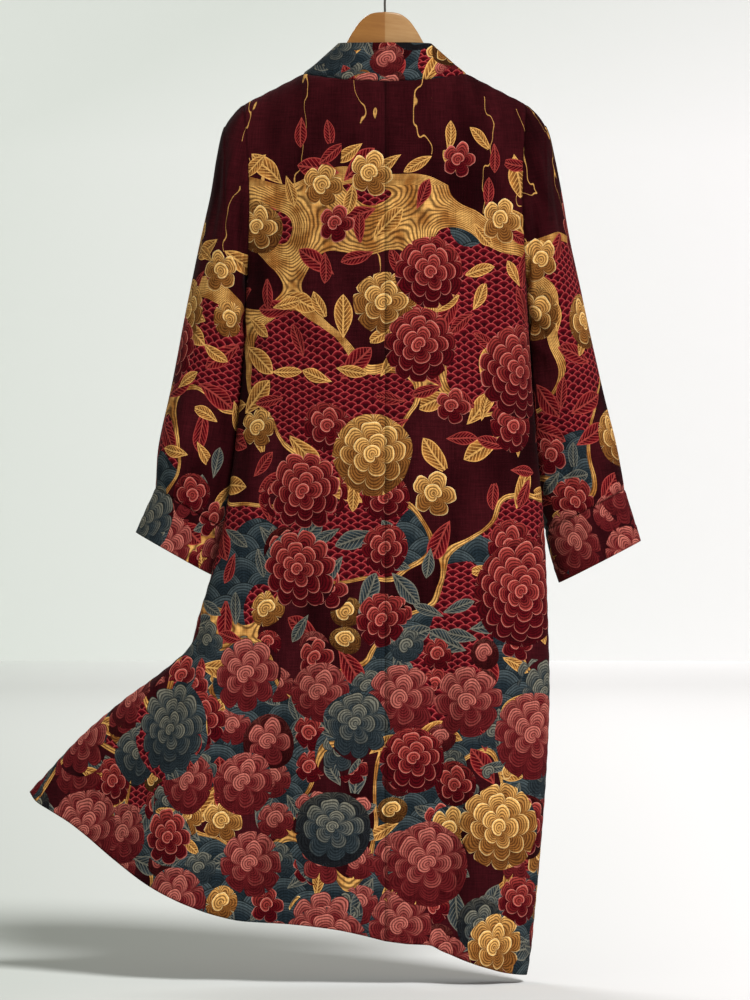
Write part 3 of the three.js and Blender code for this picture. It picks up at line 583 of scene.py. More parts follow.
def tube_panels(rows, hole, body):
    """The panels of a sleeve and its cuff."""
    sleeve, cuff = (Panel(to_front(p), body.sign, ring=True) for p in sleeve_grids(rows, hole, body))
    x, y, z = np.moveaxis(sleeve.p, -1, 0)
    clear = smooth(sleeve.down / FADE["armhole"])
    sleeve.relief += clear * (sleeve_creases(sleeve.p) + SLEEVE_WAVES * unevenness(x + y, z))
    by_body = (z > UNDERARM_Z - PRESSED["below"]) & (body.sign * x < PRESSED["x"])
    sleeve.relief -= PRESSED["depth"] * clear * by_body
    sleeve.add_seam(sleeve.down, sleeve.along)
    sleeve.add_seam(sleeve.down[-1:] - sleeve.down, sleeve.along)

    x, y, z = np.moveaxis(cuff.p, -1, 0)
    cuff.relief += CUFF_WAVES * smooth(cuff.down / FADE["cuff"]) * unevenness(2 * x + y, 2 * z)
    cuff.relief += CUFF_LIFT
    cuff.add_seam(cuff.down, cuff.along)
    cuff.add_hem(cuff.down[-1:] - cuff.down)

    for panel in (sleeve, cuff):
        round_it, panel.v = tube_cloth(panel.p, rows)
        panel.u = round_it + SLEEVE_PRINT * (1.5 + body.sign / 2)
    return sleeve, cuff


def to_front(p):
    """Turns a tube's rings so that the first column runs down its front."""
    return np.roll(p, p.shape[1] // 4, 1)


def band_panel(bodies, grids):
    """The collar band, whose first column is its seam and whose last is its free edge."""
    panel = Panel(collar_grid(bodies, grids), -1)
    free = panel.along[:, -1:] - panel.along
    x, _, z = np.moveaxis(panel.p, -1, 0)
    panel.relief += smooth(panel.along / FADE["band"]) * BAND_WAVES * unevenness(2 * x + z, z + x)
    panel.add_seam(panel.along, panel.down)
    middle = panel.down[len(panel.down) // 2].mean()
    panel.hem = np.minimum(free, np.minimum(panel.down, panel.down[-1:] - panel.down))
    panel.u, panel.v = panel.down - middle, BAND_PRINT + panel.along
    return panel


# ---- meshes ----
OUTSIDE, INSIDE, RIM = 0, 1, 2  # material slots of a cloth piece


def share_seam_normals(panels):
    """Points that two pieces share at a seam get one normal, so that the walls meet."""
    edges = []
    for panel in panels:
        rows, columns = panel.p.shape[:2]
        picks = [(0, slice(None)), (rows - 1, slice(None))]
        if not panel.ring:
            picks += [(slice(None), 0), (slice(None), columns - 1)]
        for pick in picks:
            i, j = np.broadcast_arrays(*np.ogrid[:rows, :columns])
            edges += [(panel, a, b) for a, b in zip(i[pick], j[pick])]
    found = {}
    for panel, i, j in edges:
        found.setdefault(tuple(np.round(panel.p[i, j], 2)), []).append((panel, i, j))
    for places in found.values():
        total = sum(panel.n[i, j] for panel, i, j in places)
        relief = np.mean([panel.relief[i, j] for panel, i, j in places])
        for panel, i, j in places:
            panel.n[i, j] = total / np.linalg.norm(total)
            panel.relief[i, j] = relief


def quads(a, b, c, d):
    return np.stack([a, b, c, d], -1).reshape(-1, 4)


def grid_quads(index, turned=False):
    """The four corners of every cell of a grid of points."""
    a, b, c, d = index[:-1, :-1], index[1:, :-1], index[1:, 1:], index[:-1, 1:]
    return quads(a, d, c, b) if turned else quads(a, b, c, d)


def cloth_mesh(name, panel, thickness, materials):
    """A closed wall on both sides of the panel."""
    rows, columns = panel.p.shape[:2]
    middle, step = panel.moved(), panel.n * thickness / 2
    points = np.concatenate([(middle + step).reshape(-1, 3), (middle - step).reshape(-1, 3)]) * MM
    index = np.arange(rows * columns).reshape(rows, columns)
    cloth = np.arange(panel.u.size).reshape(panel.u.shape)
    if panel.ring:
        index = np.concatenate([index, index[:, :1]], 1)
    inner = index + rows * columns
    faces = [grid_quads(index), grid_quads(inner, turned=True)]
    places = [grid_quads(cloth), grid_quads(cloth, turned=True)]
    slots = [np.full(len(faces[0]), OUTSIDE), np.full(len(faces[1]), INSIDE)]
    walls = len(faces[0]) + len(faces[1])
    borders = [(0, slice(None), False), (-1, slice(None), True)]  # where the wall's two sides join
    if not panel.ring:
        borders += [(slice(None), 0, True), (slice(None), -1, False)]
    for i, j, turned in borders:
        a, b, c = index[i, j], inner[i, j], cloth[i, j]
        loop, spot = [a[:-1], a[1:], b[1:], b[:-1]], [c[:-1], c[1:], c[1:], c[:-1]]
        if turned:
            loop, spot = loop[::-1], spot[::-1]
        faces.append(quads(*loop))
        places.append(quads(*spot))
        slots.append(np.full(len(faces[-1]), RIM if panel.hemmed and i == -1 else OUTSIDE))
    faces, places, slots = np.concatenate(faces), np.concatenate(places), np.concatenate(slots)
    if signed_volume(points, faces) < 0:
        faces, places = faces[:, ::-1], places[:, ::-1]
    mesh = mesh_of(name, points, faces)
    mesh.polygons.foreach_set("material_index", slots.astype(np.int32))
    mesh.polygons.foreach_set("use_smooth", np.arange(len(faces)) < walls)
    uv = np.stack([panel.u, panel.v], -1).reshape(-1, 2)[places.reshape(-1)] * MM
    mesh.uv_layers.new(name="cloth").uv.foreach_set("vector", uv.astype(np.float32).ravel())
    for label in ("seam", "hem"):
        values = np.tile(getattr(panel, label).ravel(), 2).astype(np.float32)
        mesh.attributes.new(label, "FLOAT", "POINT").data.foreach_set("value", values)
    for each in materials:
        mesh.materials.append(each)
    return add_object(name, mesh)


def signed_volume(points, faces):
    """Above 0 where the faces look outwards."""
    a, b, c, d = (points[faces[:, i]] for i in range(4))
    return float((np.cross(b, c) * a).sum() + (np.cross(c, d) * a).sum())


def mesh_of(name, points, faces):
    mesh = bpy.data.meshes.new(name)
    mesh.vertices.add(len(points))
    mesh.vertices.foreach_set("co", points.astype(np.float32).ravel())
    mesh.loops.add(faces.size)
    mesh.loops.foreach_set("vertex_index", faces.astype(np.int32).ravel())
    mesh.polygons.add(len(faces))
    mesh.polygons.foreach_set("loop_start", np.arange(0, faces.size, faces.shape[1], dtype=np.int32))
    mesh.update(calc_edges=True)
    return mesh


def add_object(name, data):
    obj = bpy.data.objects.new(name, data)
    bpy.context.collection.objects.link(obj)
    return obj


def loft_mesh(name, rings, look):
    """A closed solid through rings of points in mm, with flat ends."""
    count, sides = rings.shape[:2]
    index = np.arange(count * sides).reshape(count, sides)
    index = np.concatenate([index, index[:, :1]], 1)
    faces = grid_quads(index, turned=True)
    points = rings.reshape(-1, 3) * MM
    ends = np.array([rings[0].mean(0), rings[-1].mean(0)]) * MM
    start, finish = len(points), len(points) + 1
    caps = [np.stack([np.full(sides, start), index[0, 1:], index[0, :-1]], -1),
            np.stack([np.full(sides, finish), index[-1, :-1], index[-1, 1:]], -1)]
    points = np.concatenate([points, ends])
    turned = signed_volume(points, faces) < 0
    polygons = [tuple(f[::-1] if turned else f) for part in (faces, *caps) for f in part.tolist()]
    mesh = bpy.data.meshes.new(name)
    mesh.from_pydata(points.tolist(), [], polygons)
    mesh.polygons.foreach_set("use_smooth", [len(f) == 4 for f in polygons])
    mesh.materials.append(look)
    return add_object(name, mesh)


# ---- node arithmetic ----
def math_node(operation):
    """The method that adds one Math node of this kind."""
    return lambda value, other: value.math(operation, other)


class Value:
    """A number socket that plain arithmetic works on; each operation adds one Math node."""

    def __init__(self, tree, socket):
        self.tree, self.socket = tree, socket

    def math(self, operation, *others, clamp=False):
        node = self.tree.nodes.new("ShaderNodeMath")
        node.operation, node.use_clamp = operation, clamp
        for socket, value in zip(node.inputs, (self, *others)):
            if isinstance(value, Value):
                self.tree.links.new(value.socket, socket)
            else:
                socket.default_value = value
        return Value(self.tree, node.outputs[0])

    __add__ = __radd__ = math_node("ADD")
    __mul__ = __rmul__ = math_node("MULTIPLY")
    __sub__ = math_node("SUBTRACT")
    __truediv__ = math_node("DIVIDE")
    __lt__ = math_node("LESS_THAN")
    __gt__ = math_node("GREATER_THAN")

    def __rsub__(self, other):
        return self.times_add(-1, other)

    def times_add(self, factor, extra):
        return self.math("MULTIPLY_ADD", factor, extra)

    def ramp(self, low, high):
        """0 at low and 1 at high, without passing either."""
        return self.math("MULTIPLY_ADD", 1 / (high - low), -low / (high - low), clamp=True)

    def off_middle(self):
        """How far the fraction part is from a half."""
        return (self.math("FRACT") - 0.5).math("ABSOLUTE")


class Shader:
    """Adds nodes to one tree."""

    def __init__(self, tree):
        self.tree = tree

    def node(self, kind, inputs=None, **settings):
        node = self.tree.nodes.new(kind)
        for name, value in settings.items():
            setattr(node, name, value)
        for name, value in (inputs or {}).items():
            self.feed(node.inputs[name], value)
        return node

    def feed(self, socket, value):
        if isinstance(value, Value):
            self.tree.links.new(value.socket, socket)
        elif isinstance(value, bpy.types.NodeSocket):
            self.tree.links.new(value, socket)
        else:
            socket.default_value = value

    def value(self, socket):
        return Value(self.tree, socket)

    def split(self, vector):
        out = self.node("ShaderNodeSeparateXYZ", {"Vector": vector}).outputs
        return tuple(self.value(out[i]) for i in range(3))

    def join(self, x, y, z=0.0):
        return self.node("ShaderNodeCombineXYZ", {"X": x, "Y": y, "Z": z}).outputs[0]

    def mix(self, a, b, share, kind="RGBA", **settings):
        """A blend of two colours, or of two vectors or numbers."""
        first, out = dict(FLOAT=(2, 0), VECTOR=(4, 1), RGBA=(6, 2))[kind]
        inputs = {first: a, first + 1: b, 0: share}
        return self.node("ShaderNodeMix", inputs, data_type=kind, **settings).outputs[out]

    def choose(self, a, b, share):
        """A number between a and b."""
        return self.value(self.mix(a, b, share, "FLOAT"))

    def vector(self, operation, *vectors):
        return self.node("ShaderNodeVectorMath", dict(enumerate(vectors)), operation=operation).outputs[0]

    def noise(self, vector, scale, detail=2.0, roughness=0.5, dimensions="2D"):
        inputs = {"Vector": vector, "Scale": scale, "Detail": detail, "Roughness": roughness}
        return self.value(self.node("ShaderNodeTexNoise", inputs, noise_dimensions=dimensions).outputs[0])

    def steps(self, value, colours):
        """One of the colours for each whole number."""
        count = len(colours)
        node = self.node("ShaderNodeValToRGB", {"Fac": value.times_add(1 / count, 0.5 / count)})
        ramp = node.color_ramp
        ramp.interpolation = "CONSTANT"
        while len(ramp.elements) < count:
            ramp.elements.new(1.0)
        for i, step in enumerate(colours):
            ramp.elements[i].position = i / count
            ramp.elements[i].color = step
        return node.outputs[0]

    def step_numbers(self, value, numbers):
        return self.value(self.steps(value, [(n, n, n, 1) for n in numbers]))


def colour(code):
    """The linear colour of a hex code, opaque."""
    parts = [int(code[i:i + 2], 16) / 255 for i in (1, 3, 5)]
    return (*(c / 12.92 if c <= 0.04045 else ((c + 0.055) / 1.055) ** 2.4 for c in parts), 1)


def material(name, base="#808080", roughness=0.8, metallic=0.0, specular=0.3):
    made = bpy.data.materials.new(name)
    made.use_nodes = True
    shader = made.node_tree.nodes["Principled BSDF"]
    shader.inputs["Base Color"].default_value = colour(base)
    shader.inputs["Roughness"].default_value = roughness
    shader.inputs["Metallic"].default_value = metallic
    shader.inputs["Specular IOR Level"].default_value = specular
    return made, Shader(made.node_tree), shader


# ---- the print ----
# Palettes, in the order of their numbers: gold, crimson, rose, slate.
DEEP = [colour(c) for c in ("#4a2810", "#260307", "#36060b", "#11171c")]
BODY = [colour(c) for c in ("#94602c", "#5c0a12", "#702425", "#323a3e")]
TIP = [colour(c) for c in ("#d09d58", "#963a34", "#ad6156", "#6b685c")]
ENGRAVED = [colour(c) for c in ("#35190a", "#240306", "#330509", "#12181c")]
TIP_LINE = [colour(c) for c in ("#e8c98c", "#c4786a", "#3c0a0e", "#0f1214")]
GOLD, CRIMSON, ROSE, SLATE = range(4)
PETAL_LENGTH = (0.0165, 0.0140, 0.0175, 0.0165)  # metres, from ring to ring
BULGE = (0.85, 0.8, 0.9, 0.7)  # how far a petal's tip stands out, as a share of its length
FIRST_PETALS, MORE_PETALS = 5, 3.3  # in the middle ring, and more in each ring outside it
BLOOM = dict(wobbles=1.7, wobble=0.24, ring_turn=0.37, rim=(0.0014, 0.0006), lines=(0.16, 0.40))
# The ground's colour, its painted light where the large folds catch the light, and the blooms' outline.
GROUND, GROUND_LIGHT, OUTLINE = (colour(c) for c in ("#180204", "#350c11", "#0c0303"))
VINE = dict(colour="#b98a4c", pitch=0.085, wander=0.16)
WAVER = dict(scale=14, reach=0.012)  # the drawn shapes waver a little
LINE_PITCH = 0.0038
SCATTER = 0.55  # 0 is a square grid
SIZE_CODE = 5.0  # a motif's radius in metres times this is the fraction part of its code
SWING_LENGTH = 0.5  # metres along the cloth in which the choice of palettes swings once

# Heights on the cloth, in metres from the hang point, where the print changes.
ZONE = dict(vines_end=-0.44, leaves_begin=-0.235, gold_ends=-0.52, slate_leaves=-0.78, all_blooms=-0.93)

# The fields of scales and the drifts that they fill.
CRIMSON_SCALES = dict(radius=0.0100, pitch=0.0034, rim=0.07, engraving=0.5,
                      colours=("#2a0409", "#680b17", "#963a3a", "#30050a"))
SLATE_SCALES = dict(radius=0.034, pitch=0.0038, rim=0.030, engraving=0.8,
                    colours=("#1b242a", "#424b4e", "#0a0e10", "#11171a"))
DRIFT = dict(scale=5.2, begins=(-0.235, -0.32), least=0.45, narrow=0.022, broad=0.14, narrows=(-0.62, -0.42),
             streaks=95.0, slate=(-0.74, -1.0), slate_least=0.78)

# Layers of blooms from the bottom up: distance between them, radius, how much the radius varies, the zone
# that they fill, from top to end, the share of its places that are taken, and where the layer starts.
BLOOMS = [
    dict(pitch=0.060, radius=0.034, varies=0.25, top=-0.90, end=-9.0, taken=1.0, start=(3.17, 1.93)),
    dict(pitch=0.086, radius=0.046, varies=0.20, top=-0.27, end=-9.0, taken=0.42, start=(7.41, 5.22)),
    dict(pitch=0.105, radius=0.056, varies=0.20, top=-0.93, end=-9.0, taken=0.85, start=(4.63, 7.77)),
    dict(pitch=0.165, radius=0.078, varies=0.15, top=-0.25, end=-1.00, taken=0.38, start=(1.83, 8.36)),
    dict(pitch=0.140, radius=0.068, varies=0.20, top=-0.98, end=-9.0, taken=0.70, start=(5.29, 2.68)),
]
LEAVES_TAKEN = 0.55
LEAVES = [
    dict(pitch=0.064, length=0.031, slim=0.42, start=(2.23, 6.71)),
    dict(pitch=0.047, length=0.023, slim=0.36, start=(9.07, 4.15)),
]


def scatter(s, place, layer):
    """The nearest place of a layer: the offset from it, where it is, three chance numbers, and its room."""
    at = s.vector("ADD", place, (*layer["start"], 0))
    inputs = {"Vector": at, "Scale": 1 / layer["pitch"], "Randomness": SCATTER}
    cells = s.node("ShaderNodeTexVoronoi", inputs, voronoi_dimensions="2D").outputs
    apart = s.node("ShaderNodeTexVoronoi", inputs, voronoi_dimensions="2D", feature="N_SPHERE_RADIUS").outputs
    offset = s.vector("SUBTRACT", at, cells["Position"])
    side, height, _ = s.split(cells["Position"])
    side, height = side - layer["start"][0], height - layer["start"][1]
    return offset, side, height, s.split(cells["Color"]), s.value(apart["Radius"]) * layer["pitch"]


def palette_bias(side, bias, swing):
    return bias + swing * (side * (2 * math.pi / SWING_LENGTH)).math("SINE")


def share_out(s, chance, **shares):
    """A palette's number, chosen by chance from 0 to 1; the shares are tenths and add up to 10."""
    numbers = dict(gold=GOLD, crimson=CRIMSON, rose=ROSE, slate=SLATE)
    tenths = [numbers[name] for name, share in shares.items() for _ in range(share)]
    return s.step_numbers(chance * len(tenths), tenths)


def bloom_palette(s, height, chance):
    """Gold over crimson at the top, and all four lower down."""
    top, middle = share_out(s, chance, gold=7, crimson=3), share_out(s, chance, gold=3, crimson=7)
    low = share_out(s, chance, gold=2, crimson=2, rose=4, slate=2)
    upper = s.choose(top, middle, height < ZONE["gold_ends"])
    return s.choose(upper, low, height < ZONE["all_blooms"])


def add_bloom_layer(s, chosen, place, layer, gain, shift, bias, swing):
    """Puts one layer's blooms over those chosen so far. chosen holds local x, local y and a code."""
    offset, side, height, (chance, size, taken), room = scatter(s, place, layer)
    height = height.times_add(gain, shift)
    chance = chance + palette_bias(side, bias, swing)
    usual, varies = layer["radius"], layer["varies"]
    radius = size.times_add(2 * varies * usual, (1 - varies) * usual).math("MINIMUM", room)
    x, y, _ = s.split(offset)
    x, y = x / radius, y / radius
    in_zone = (height < layer["top"]) * (height > layer["end"])
    inside = (x * x + y * y < 1) * (taken < layer["taken"]) * in_zone
    code = bloom_palette(s, height, chance) + radius * SIZE_CODE
    return s.mix(chosen, s.join(x, y, code), inside, "VECTOR")


def bloom(s, chosen):
    """The colour and the cover of the bloom that was chosen: rings of round petals that overlap outwards."""
    x, y, code = s.split(chosen)
    kind = code.math("FLOOR")
    radius = (code - kind) / SIZE_CODE
    kind_step = kind.math("MAXIMUM", 0)
    length = s.step_numbers(kind_step, PETAL_LENGTH)
    bulge = s.step_numbers(kind_step, BULGE)
    wobble = s.noise(s.join(x, y), BLOOM["wobbles"], 1.0).times_add(BLOOM["wobble"], 1 - BLOOM["wobble"] / 2)
    reach = (x * x + y * y).math("SQRT") * wobble
    rings = radius / length
    spot = reach * rings
    ring = spot.math("FLOOR")
    past = spot - ring
    turn = y.math("ARCTAN2", x).times_add(1 / (2 * math.pi), 0.5)

    def tip(which):
        """How far the tips of one ring's petals reach past it here, and the place across the petal."""
        petals = which.times_add(MORE_PETALS, FIRST_PETALS).math("FLOOR").math("MAXIMUM", 1)
        side = (which * BLOOM["ring_turn"] + turn * petals).math("FRACT") - 0.5
        return (side * side).times_add(-4, 1).math("SQRT") * bulge, side

    tip_before, side_before = tip(ring - 1)
    tip_here, side_here = tip(ring)
    before = past < tip_before
    depth = s.choose(tip_here + 1 - past, tip_before - past, before)
    own_ring = ring - before
    side = s.choose(side_here, side_before, before)
    cover = (own_ring + 1 < rings - 0.15) * (kind > -0.5)
    lines = (depth * length / LINE_PITCH).off_middle().ramp(*BLOOM["lines"])
    palettes = (s.steps(kind_step, each) for each in (BODY, DEEP, TIP, ENGRAVED, TIP_LINE))
    body, deep, tip_colour, engraved, rim = palettes
    fall = depth.ramp(0.1, 1.3).math("MAXIMUM", side.math("ABSOLUTE").ramp(0.30, 0.5) * 0.7)
    low = (reach * 0.45 - y * 0.42).ramp(0.05, 0.75)
    shaded = s.mix(tip_colour, body, (fall + low).ramp(0.1, 0.9))
    shaded = s.mix(shaded, deep, (fall * 0.6 + low * 0.75).ramp(0.2, 1.3))
    lined = s.mix(shaded, engraved, lines * 0.8)
    edge = (depth * length).ramp(*BLOOM["rim"])
    rimmed = s.mix(lined, rim, edge * low.times_add(-0.45, 0.9))
    border = (rings - 0.2 - own_ring - 1).ramp(0.12, 0.0)
    return s.mix(rimmed, OUTLINE, border * 0.7), cover, depth


def leaf_layer(s, ground, place, layer, gain, shift):
    """Pointed leaves with a midrib and side veins, over the ground."""
    offset, _, height, (chance, tilt, taken), _ = scatter(s, place, layer)
    height = height.times_add(gain, shift)
    turn = {"Vector": offset, "Angle": tilt * (4 * math.pi)}
    x, y, _ = s.split(s.node("ShaderNodeVectorRotate", turn, rotation_type="Z_AXIS").outputs[0])
    x, y = x / layer["length"], (y / layer["length"]).math("ABSOLUTE")
    edge = (x * x).times_add(-layer["slim"], layer["slim"]) * x.times_add(-0.35, 1) - y
    inside = (edge > 0) * (height < ZONE["leaves_begin"]) * (taken < LEAVES_TAKEN)
    upper, lower = share_out(s, chance, gold=5, crimson=5), share_out(s, chance, gold=2, crimson=3, slate=5)
    kind = s.choose(upper, lower, height < ZONE["slate_leaves"])
    veins = ((x + y * 1.3) * 4.5).math("FRACT").ramp(0.28, 0.14)
    rib = y.ramp(0.06, 0.02)
    rim = edge.ramp(0.07, 0.03)
    body, deep, line = (s.steps(kind, palette) for palette in (BODY, DEEP, TIP))
    shaded = s.mix(deep, body, y.ramp(0.0, 0.35))
    drawn = s.mix(shaded, line, veins.math("MAXIMUM", rib).math("MAXIMUM", rim) * 0.8)
    return s.mix(ground, drawn, inside)


def vines(s, ground, place, height):
    """Thin gold lines that wander down the dark top of the print."""
    x, y, _ = s.split(place)
    wander = s.noise(s.join(x, y * 0.5, 0), 11, 3.0, 0.6)
    off = ((x + wander * VINE["wander"]) / VINE["pitch"]).off_middle()
    broken = s.noise(s.join(x * 0.6, y, 0), 9, 0.0) > 0.38
    shown = off.ramp(0.013, 0.006) * broken * (height > ZONE["vines_end"])
    return s.mix(ground, colour(VINE["colour"]), shown * 0.9)


def scales(s, place, radius, pitch):
    """Rows of overlapping discs: the distance from the top disc's middle, 0 to 1, and its engraved rings."""
    x, y, _ = s.split(place)
    x, y = x / radius, y / (radius / 2)
    row = y.math("FLOOR")
    above = y - row
    odd = (row * 0.5).math("FRACT") * 2
    off_front = (((x + odd + 1) * 0.5).math("FRACT") * 2 - 1).math("ABSOLUTE")
    off_behind = off_front.times_add(-1, 1)
    up_front, up_behind = above.times_add(0.5, 0.5), above * 0.5
    front = (off_front * off_front + up_front * up_front).math("SQRT")
    behind = (off_behind * off_behind + up_behind * up_behind).math("SQRT")
    from_middle = s.choose(behind, front, front < 1)
    return from_middle, (from_middle * (radius / pitch)).off_middle()


def scale_field(s, place, field):
    """A ground of scales: shaded inwards, engraved, and with a rim to each."""
    deep, body, rim, engraved = (colour(c) for c in field["colours"])
    from_middle, rings = scales(s, place, field["radius"], field["pitch"])
    shaded = s.mix(deep, body, from_middle.ramp(0.45, 0.95))
    lined = s.mix(shaded, engraved, rings.ramp(0.2, 0.42) * field["engraving"])
    return s.mix(lined, rim, from_middle.ramp(1 - 2.2 * field["rim"], 1 - field["rim"]) * 0.85)


def drifts(s, ground, place, height, lean_to_slate):
    """Fields of scales with broad gold borders, in drifts across the cloth below the dark top."""
    form = s.noise(place, DRIFT["scale"], 1.0, 0.4) - (1 - height.ramp(*DRIFT["begins"])) * 0.4
    slate = s.noise(place, DRIFT["scale"] * 1.3, 0.0) + height.ramp(*DRIFT["slate"]) * 0.45 + lean_to_slate
    crimson_field, slate_field = (scale_field(s, place, field) for field in (CRIMSON_SCALES, SLATE_SCALES))
    field = s.mix(crimson_field, slate_field, slate > DRIFT["slate_least"])
    border = s.choose(DRIFT["narrow"], DRIFT["broad"], height.ramp(*DRIFT["narrows"]))
    inside = form - DRIFT["least"]
    streaks = (form * DRIFT["streaks"] + s.noise(place, 60, 1.0) * 0.9).off_middle()
    gold = s.mix(BODY[GOLD], TIP[GOLD], s.noise(place, 35, 2.0).ramp(0.35, 0.65))
    gold = s.mix(gold, ENGRAVED[GOLD], streaks.ramp(0.14, 0.40) * 0.8)
    drawn = s.mix(gold, field, inside > border)
    return s.mix(ground, drawn, inside > 0)


PRINT_SOCKETS = [("Place", "Vector", "INPUT")]
PRINT_SOCKETS += [(name, "Float", "INPUT") for name in ("Gain", "Shift", "Bias", "Swing")]
PRINT_SOCKETS += [("Color", "Color", "OUTPUT"), ("Height", "Float", "OUTPUT")]


def print_group():
    """Node group: the printed pattern at a place on the cloth, in metres.

    Gain and Shift turn the cloth's second coordinate into the height that the zones go by. Bias moves the
    choice of palettes towards rose and slate, and Swing does it by turns along the cloth."""
    tree = bpy.data.node_groups.new("print", "ShaderNodeTree")
    for name, kind, way in PRINT_SOCKETS:
        tree.interface.new_socket(name, in_out=way, socket_type="NodeSocket" + kind)
    s = Shader(tree)
    given = tree.nodes.new("NodeGroupInput").outputs
    gain, shift, bias, swing = (s.value(given[name]) for name in ("Gain", "Shift", "Bias", "Swing"))
    raw = given["Place"]
    waver = s.node("ShaderNodeTexNoise", {"Vector": raw, "Scale": WAVER["scale"], "Detail": 1.0},
                   noise_dimensions="2D").outputs["Color"]
    place = s.vector("MULTIPLY_ADD", waver, (WAVER["reach"], WAVER["reach"], 0.0), raw)
    side, along, _ = s.split(raw)
    height = along.times_add(gain, shift)
    # Painted light: soft lighter streaks down the dark ground, where the cloth's large folds catch the light.
    paler = s.noise(s.join(side * 13, along * 4), 1.0, 2.0, 0.5).ramp(0.3, 0.7)
    ground = s.mix(GROUND, GROUND_LIGHT, paler)
    ground = vines(s, ground, raw, height)
    ground = drifts(s, ground, place, height, palette_bias(side, bias, swing))
    for layer in LEAVES:
        ground = leaf_layer(s, ground, place, layer, gain, shift)
    chosen = s.join(0.0, 0.0, -1.0)
    for layer in BLOOMS:
        chosen = add_bloom_layer(s, chosen, place, layer, gain, shift, bias, swing)
    drawn, cover, depth = bloom(s, chosen)
    out = tree.nodes.new("NodeGroupOutput").inputs
    tree.links.new(s.mix(ground, drawn, cover), out["Color"])
    tree.links.new((cover * depth.ramp(1.4, 0.1)).socket, out["Height"])
    return tree


# ---- materials ----
WEAVE_PITCH = 0.0011
SLUB = dict(across=520, along=34, detail=2.0, roughness=0.6)  # thick threads, by turns in each metre
HEIGHTS = dict(threads=0.00010, slubs=0.00035, print=0.0005, stitches=0.0006)  # in metres, for the bump
SEAM_SHADE = 0.62  # the cloth's brightness in the dip of a seam
REVERSE = dict(tint="#5b2b29", share=0.7)  # the inside of the cloth is this much plainer
STITCH = dict(from_edge=0.0225, wide=0.0013, narrow=0.0004)  # the line of hem stitches, in metres


def cloth_material(name, printed, gain=1.0, shift=0.0, bias=0.0, swing=0.0, paler=False):
    """The printed cloth, and its paler reverse, where the print shows through."""
    made, s, shader = material(name, roughness=0.92, specular=0.02)
    place = s.node("ShaderNodeUVMap", uv_map="cloth").outputs[0]
    zone = {"Place": place, "Gain": gain, "Shift": shift, "Bias": bias, "Swing": swing}
    group = s.node("ShaderNodeGroup", zone, node_tree=printed)
    u, v, _ = s.split(place)
    slub = 1.0, SLUB["detail"], SLUB["roughness"]
    slubs = s.noise(s.join(u * SLUB["across"], v * SLUB["along"]), *slub)
    slubs = slubs + s.noise(s.join(u * SLUB["along"], v * SLUB["across"]), *slub)
    patches = s.noise(place, 6, 2.0)
    bright = slubs.times_add(0.95, 0.05) * patches.times_add(0.24, 0.88)
    seam = s.value(s.node("ShaderNodeAttribute", attribute_name="seam").outputs["Fac"])
    bright = bright * seam.ramp(0.4, 2.6).times_add(1 - SEAM_SHADE, SEAM_SHADE)
    tint = s.join(bright, bright, bright)
    result = s.mix(group.outputs["Color"], tint, 1.0, blend_type="MULTIPLY", clamp_result=True)
    if paler:
        result = s.mix(result, colour(REVERSE["tint"]), REVERSE["share"])
    s.feed(shader.inputs["Base Color"], result)
    shader.inputs["Sheen Weight"].default_value = 0.01
    shader.inputs["Sheen Roughness"].default_value = 0.5
    threads = (u * (2 * math.pi / WEAVE_PITCH)).math("SINE") * (v * (2 * math.pi / WEAVE_PITCH)).math("SINE")
    hem = s.value(s.node("ShaderNodeAttribute", attribute_name="hem").outputs["Fac"]) * MM
    stitched = (hem - STITCH["from_edge"]).math("ABSOLUTE").ramp(STITCH["wide"], STITCH["narrow"])
    surface = threads * HEIGHTS["threads"] + slubs * HEIGHTS["slubs"]
    surface = surface + s.value(group.outputs["Height"]) * HEIGHTS["print"] - stitched * HEIGHTS["stitches"]
    bump = s.node("ShaderNodeBump", {"Strength": 0.6, "Distance": 1.0, "Height": surface})
    s.feed(shader.inputs["Normal"], bump.outputs[0])
    return made


def wood_material():
    made, s, shader = material("hanger_wood", "#916636", roughness=0.38, specular=0.35)
    x, y, z = s.split(s.node("ShaderNodeTexCoord").outputs["Object"])
    grain = s.noise(s.join(x * 9, y * 160, z * 160 + x * 20), 1.0, 5.0, 0.62, "3D")
    broad = s.noise(s.join(x * 8, y * 30, z * 30), 1.0, dimensions="3D")
    arm = x.ramp(-0.0006, 0.0006)  # painted light and shade: the right half of the wood is lighter and the left half darker, as the light falls from the right
    dark = s.mix(colour("#7a4c1f"), colour("#8c6234"), arm)
    light = s.mix(colour("#9b6a33"), colour("#aa8557"), arm)
    figure = grain.ramp(0.25, 0.70) * 0.6 + broad.ramp(0.35, 0.7) * 0.4
    s.feed(shader.inputs["Base Color"], s.mix(dark, light, figure))
    shader.inputs["Coat Weight"].default_value = 0.25
    shader.inputs["Coat Roughness"].default_value = 0.25
    return made


def plain_material(name, base, roughness, metallic=0.0):
    return material(name, base, roughness, metallic)[0]


# ---- the robe ----
def stands_for(piece, node):
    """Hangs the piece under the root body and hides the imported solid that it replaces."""
    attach(piece, "root")
    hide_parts(node)


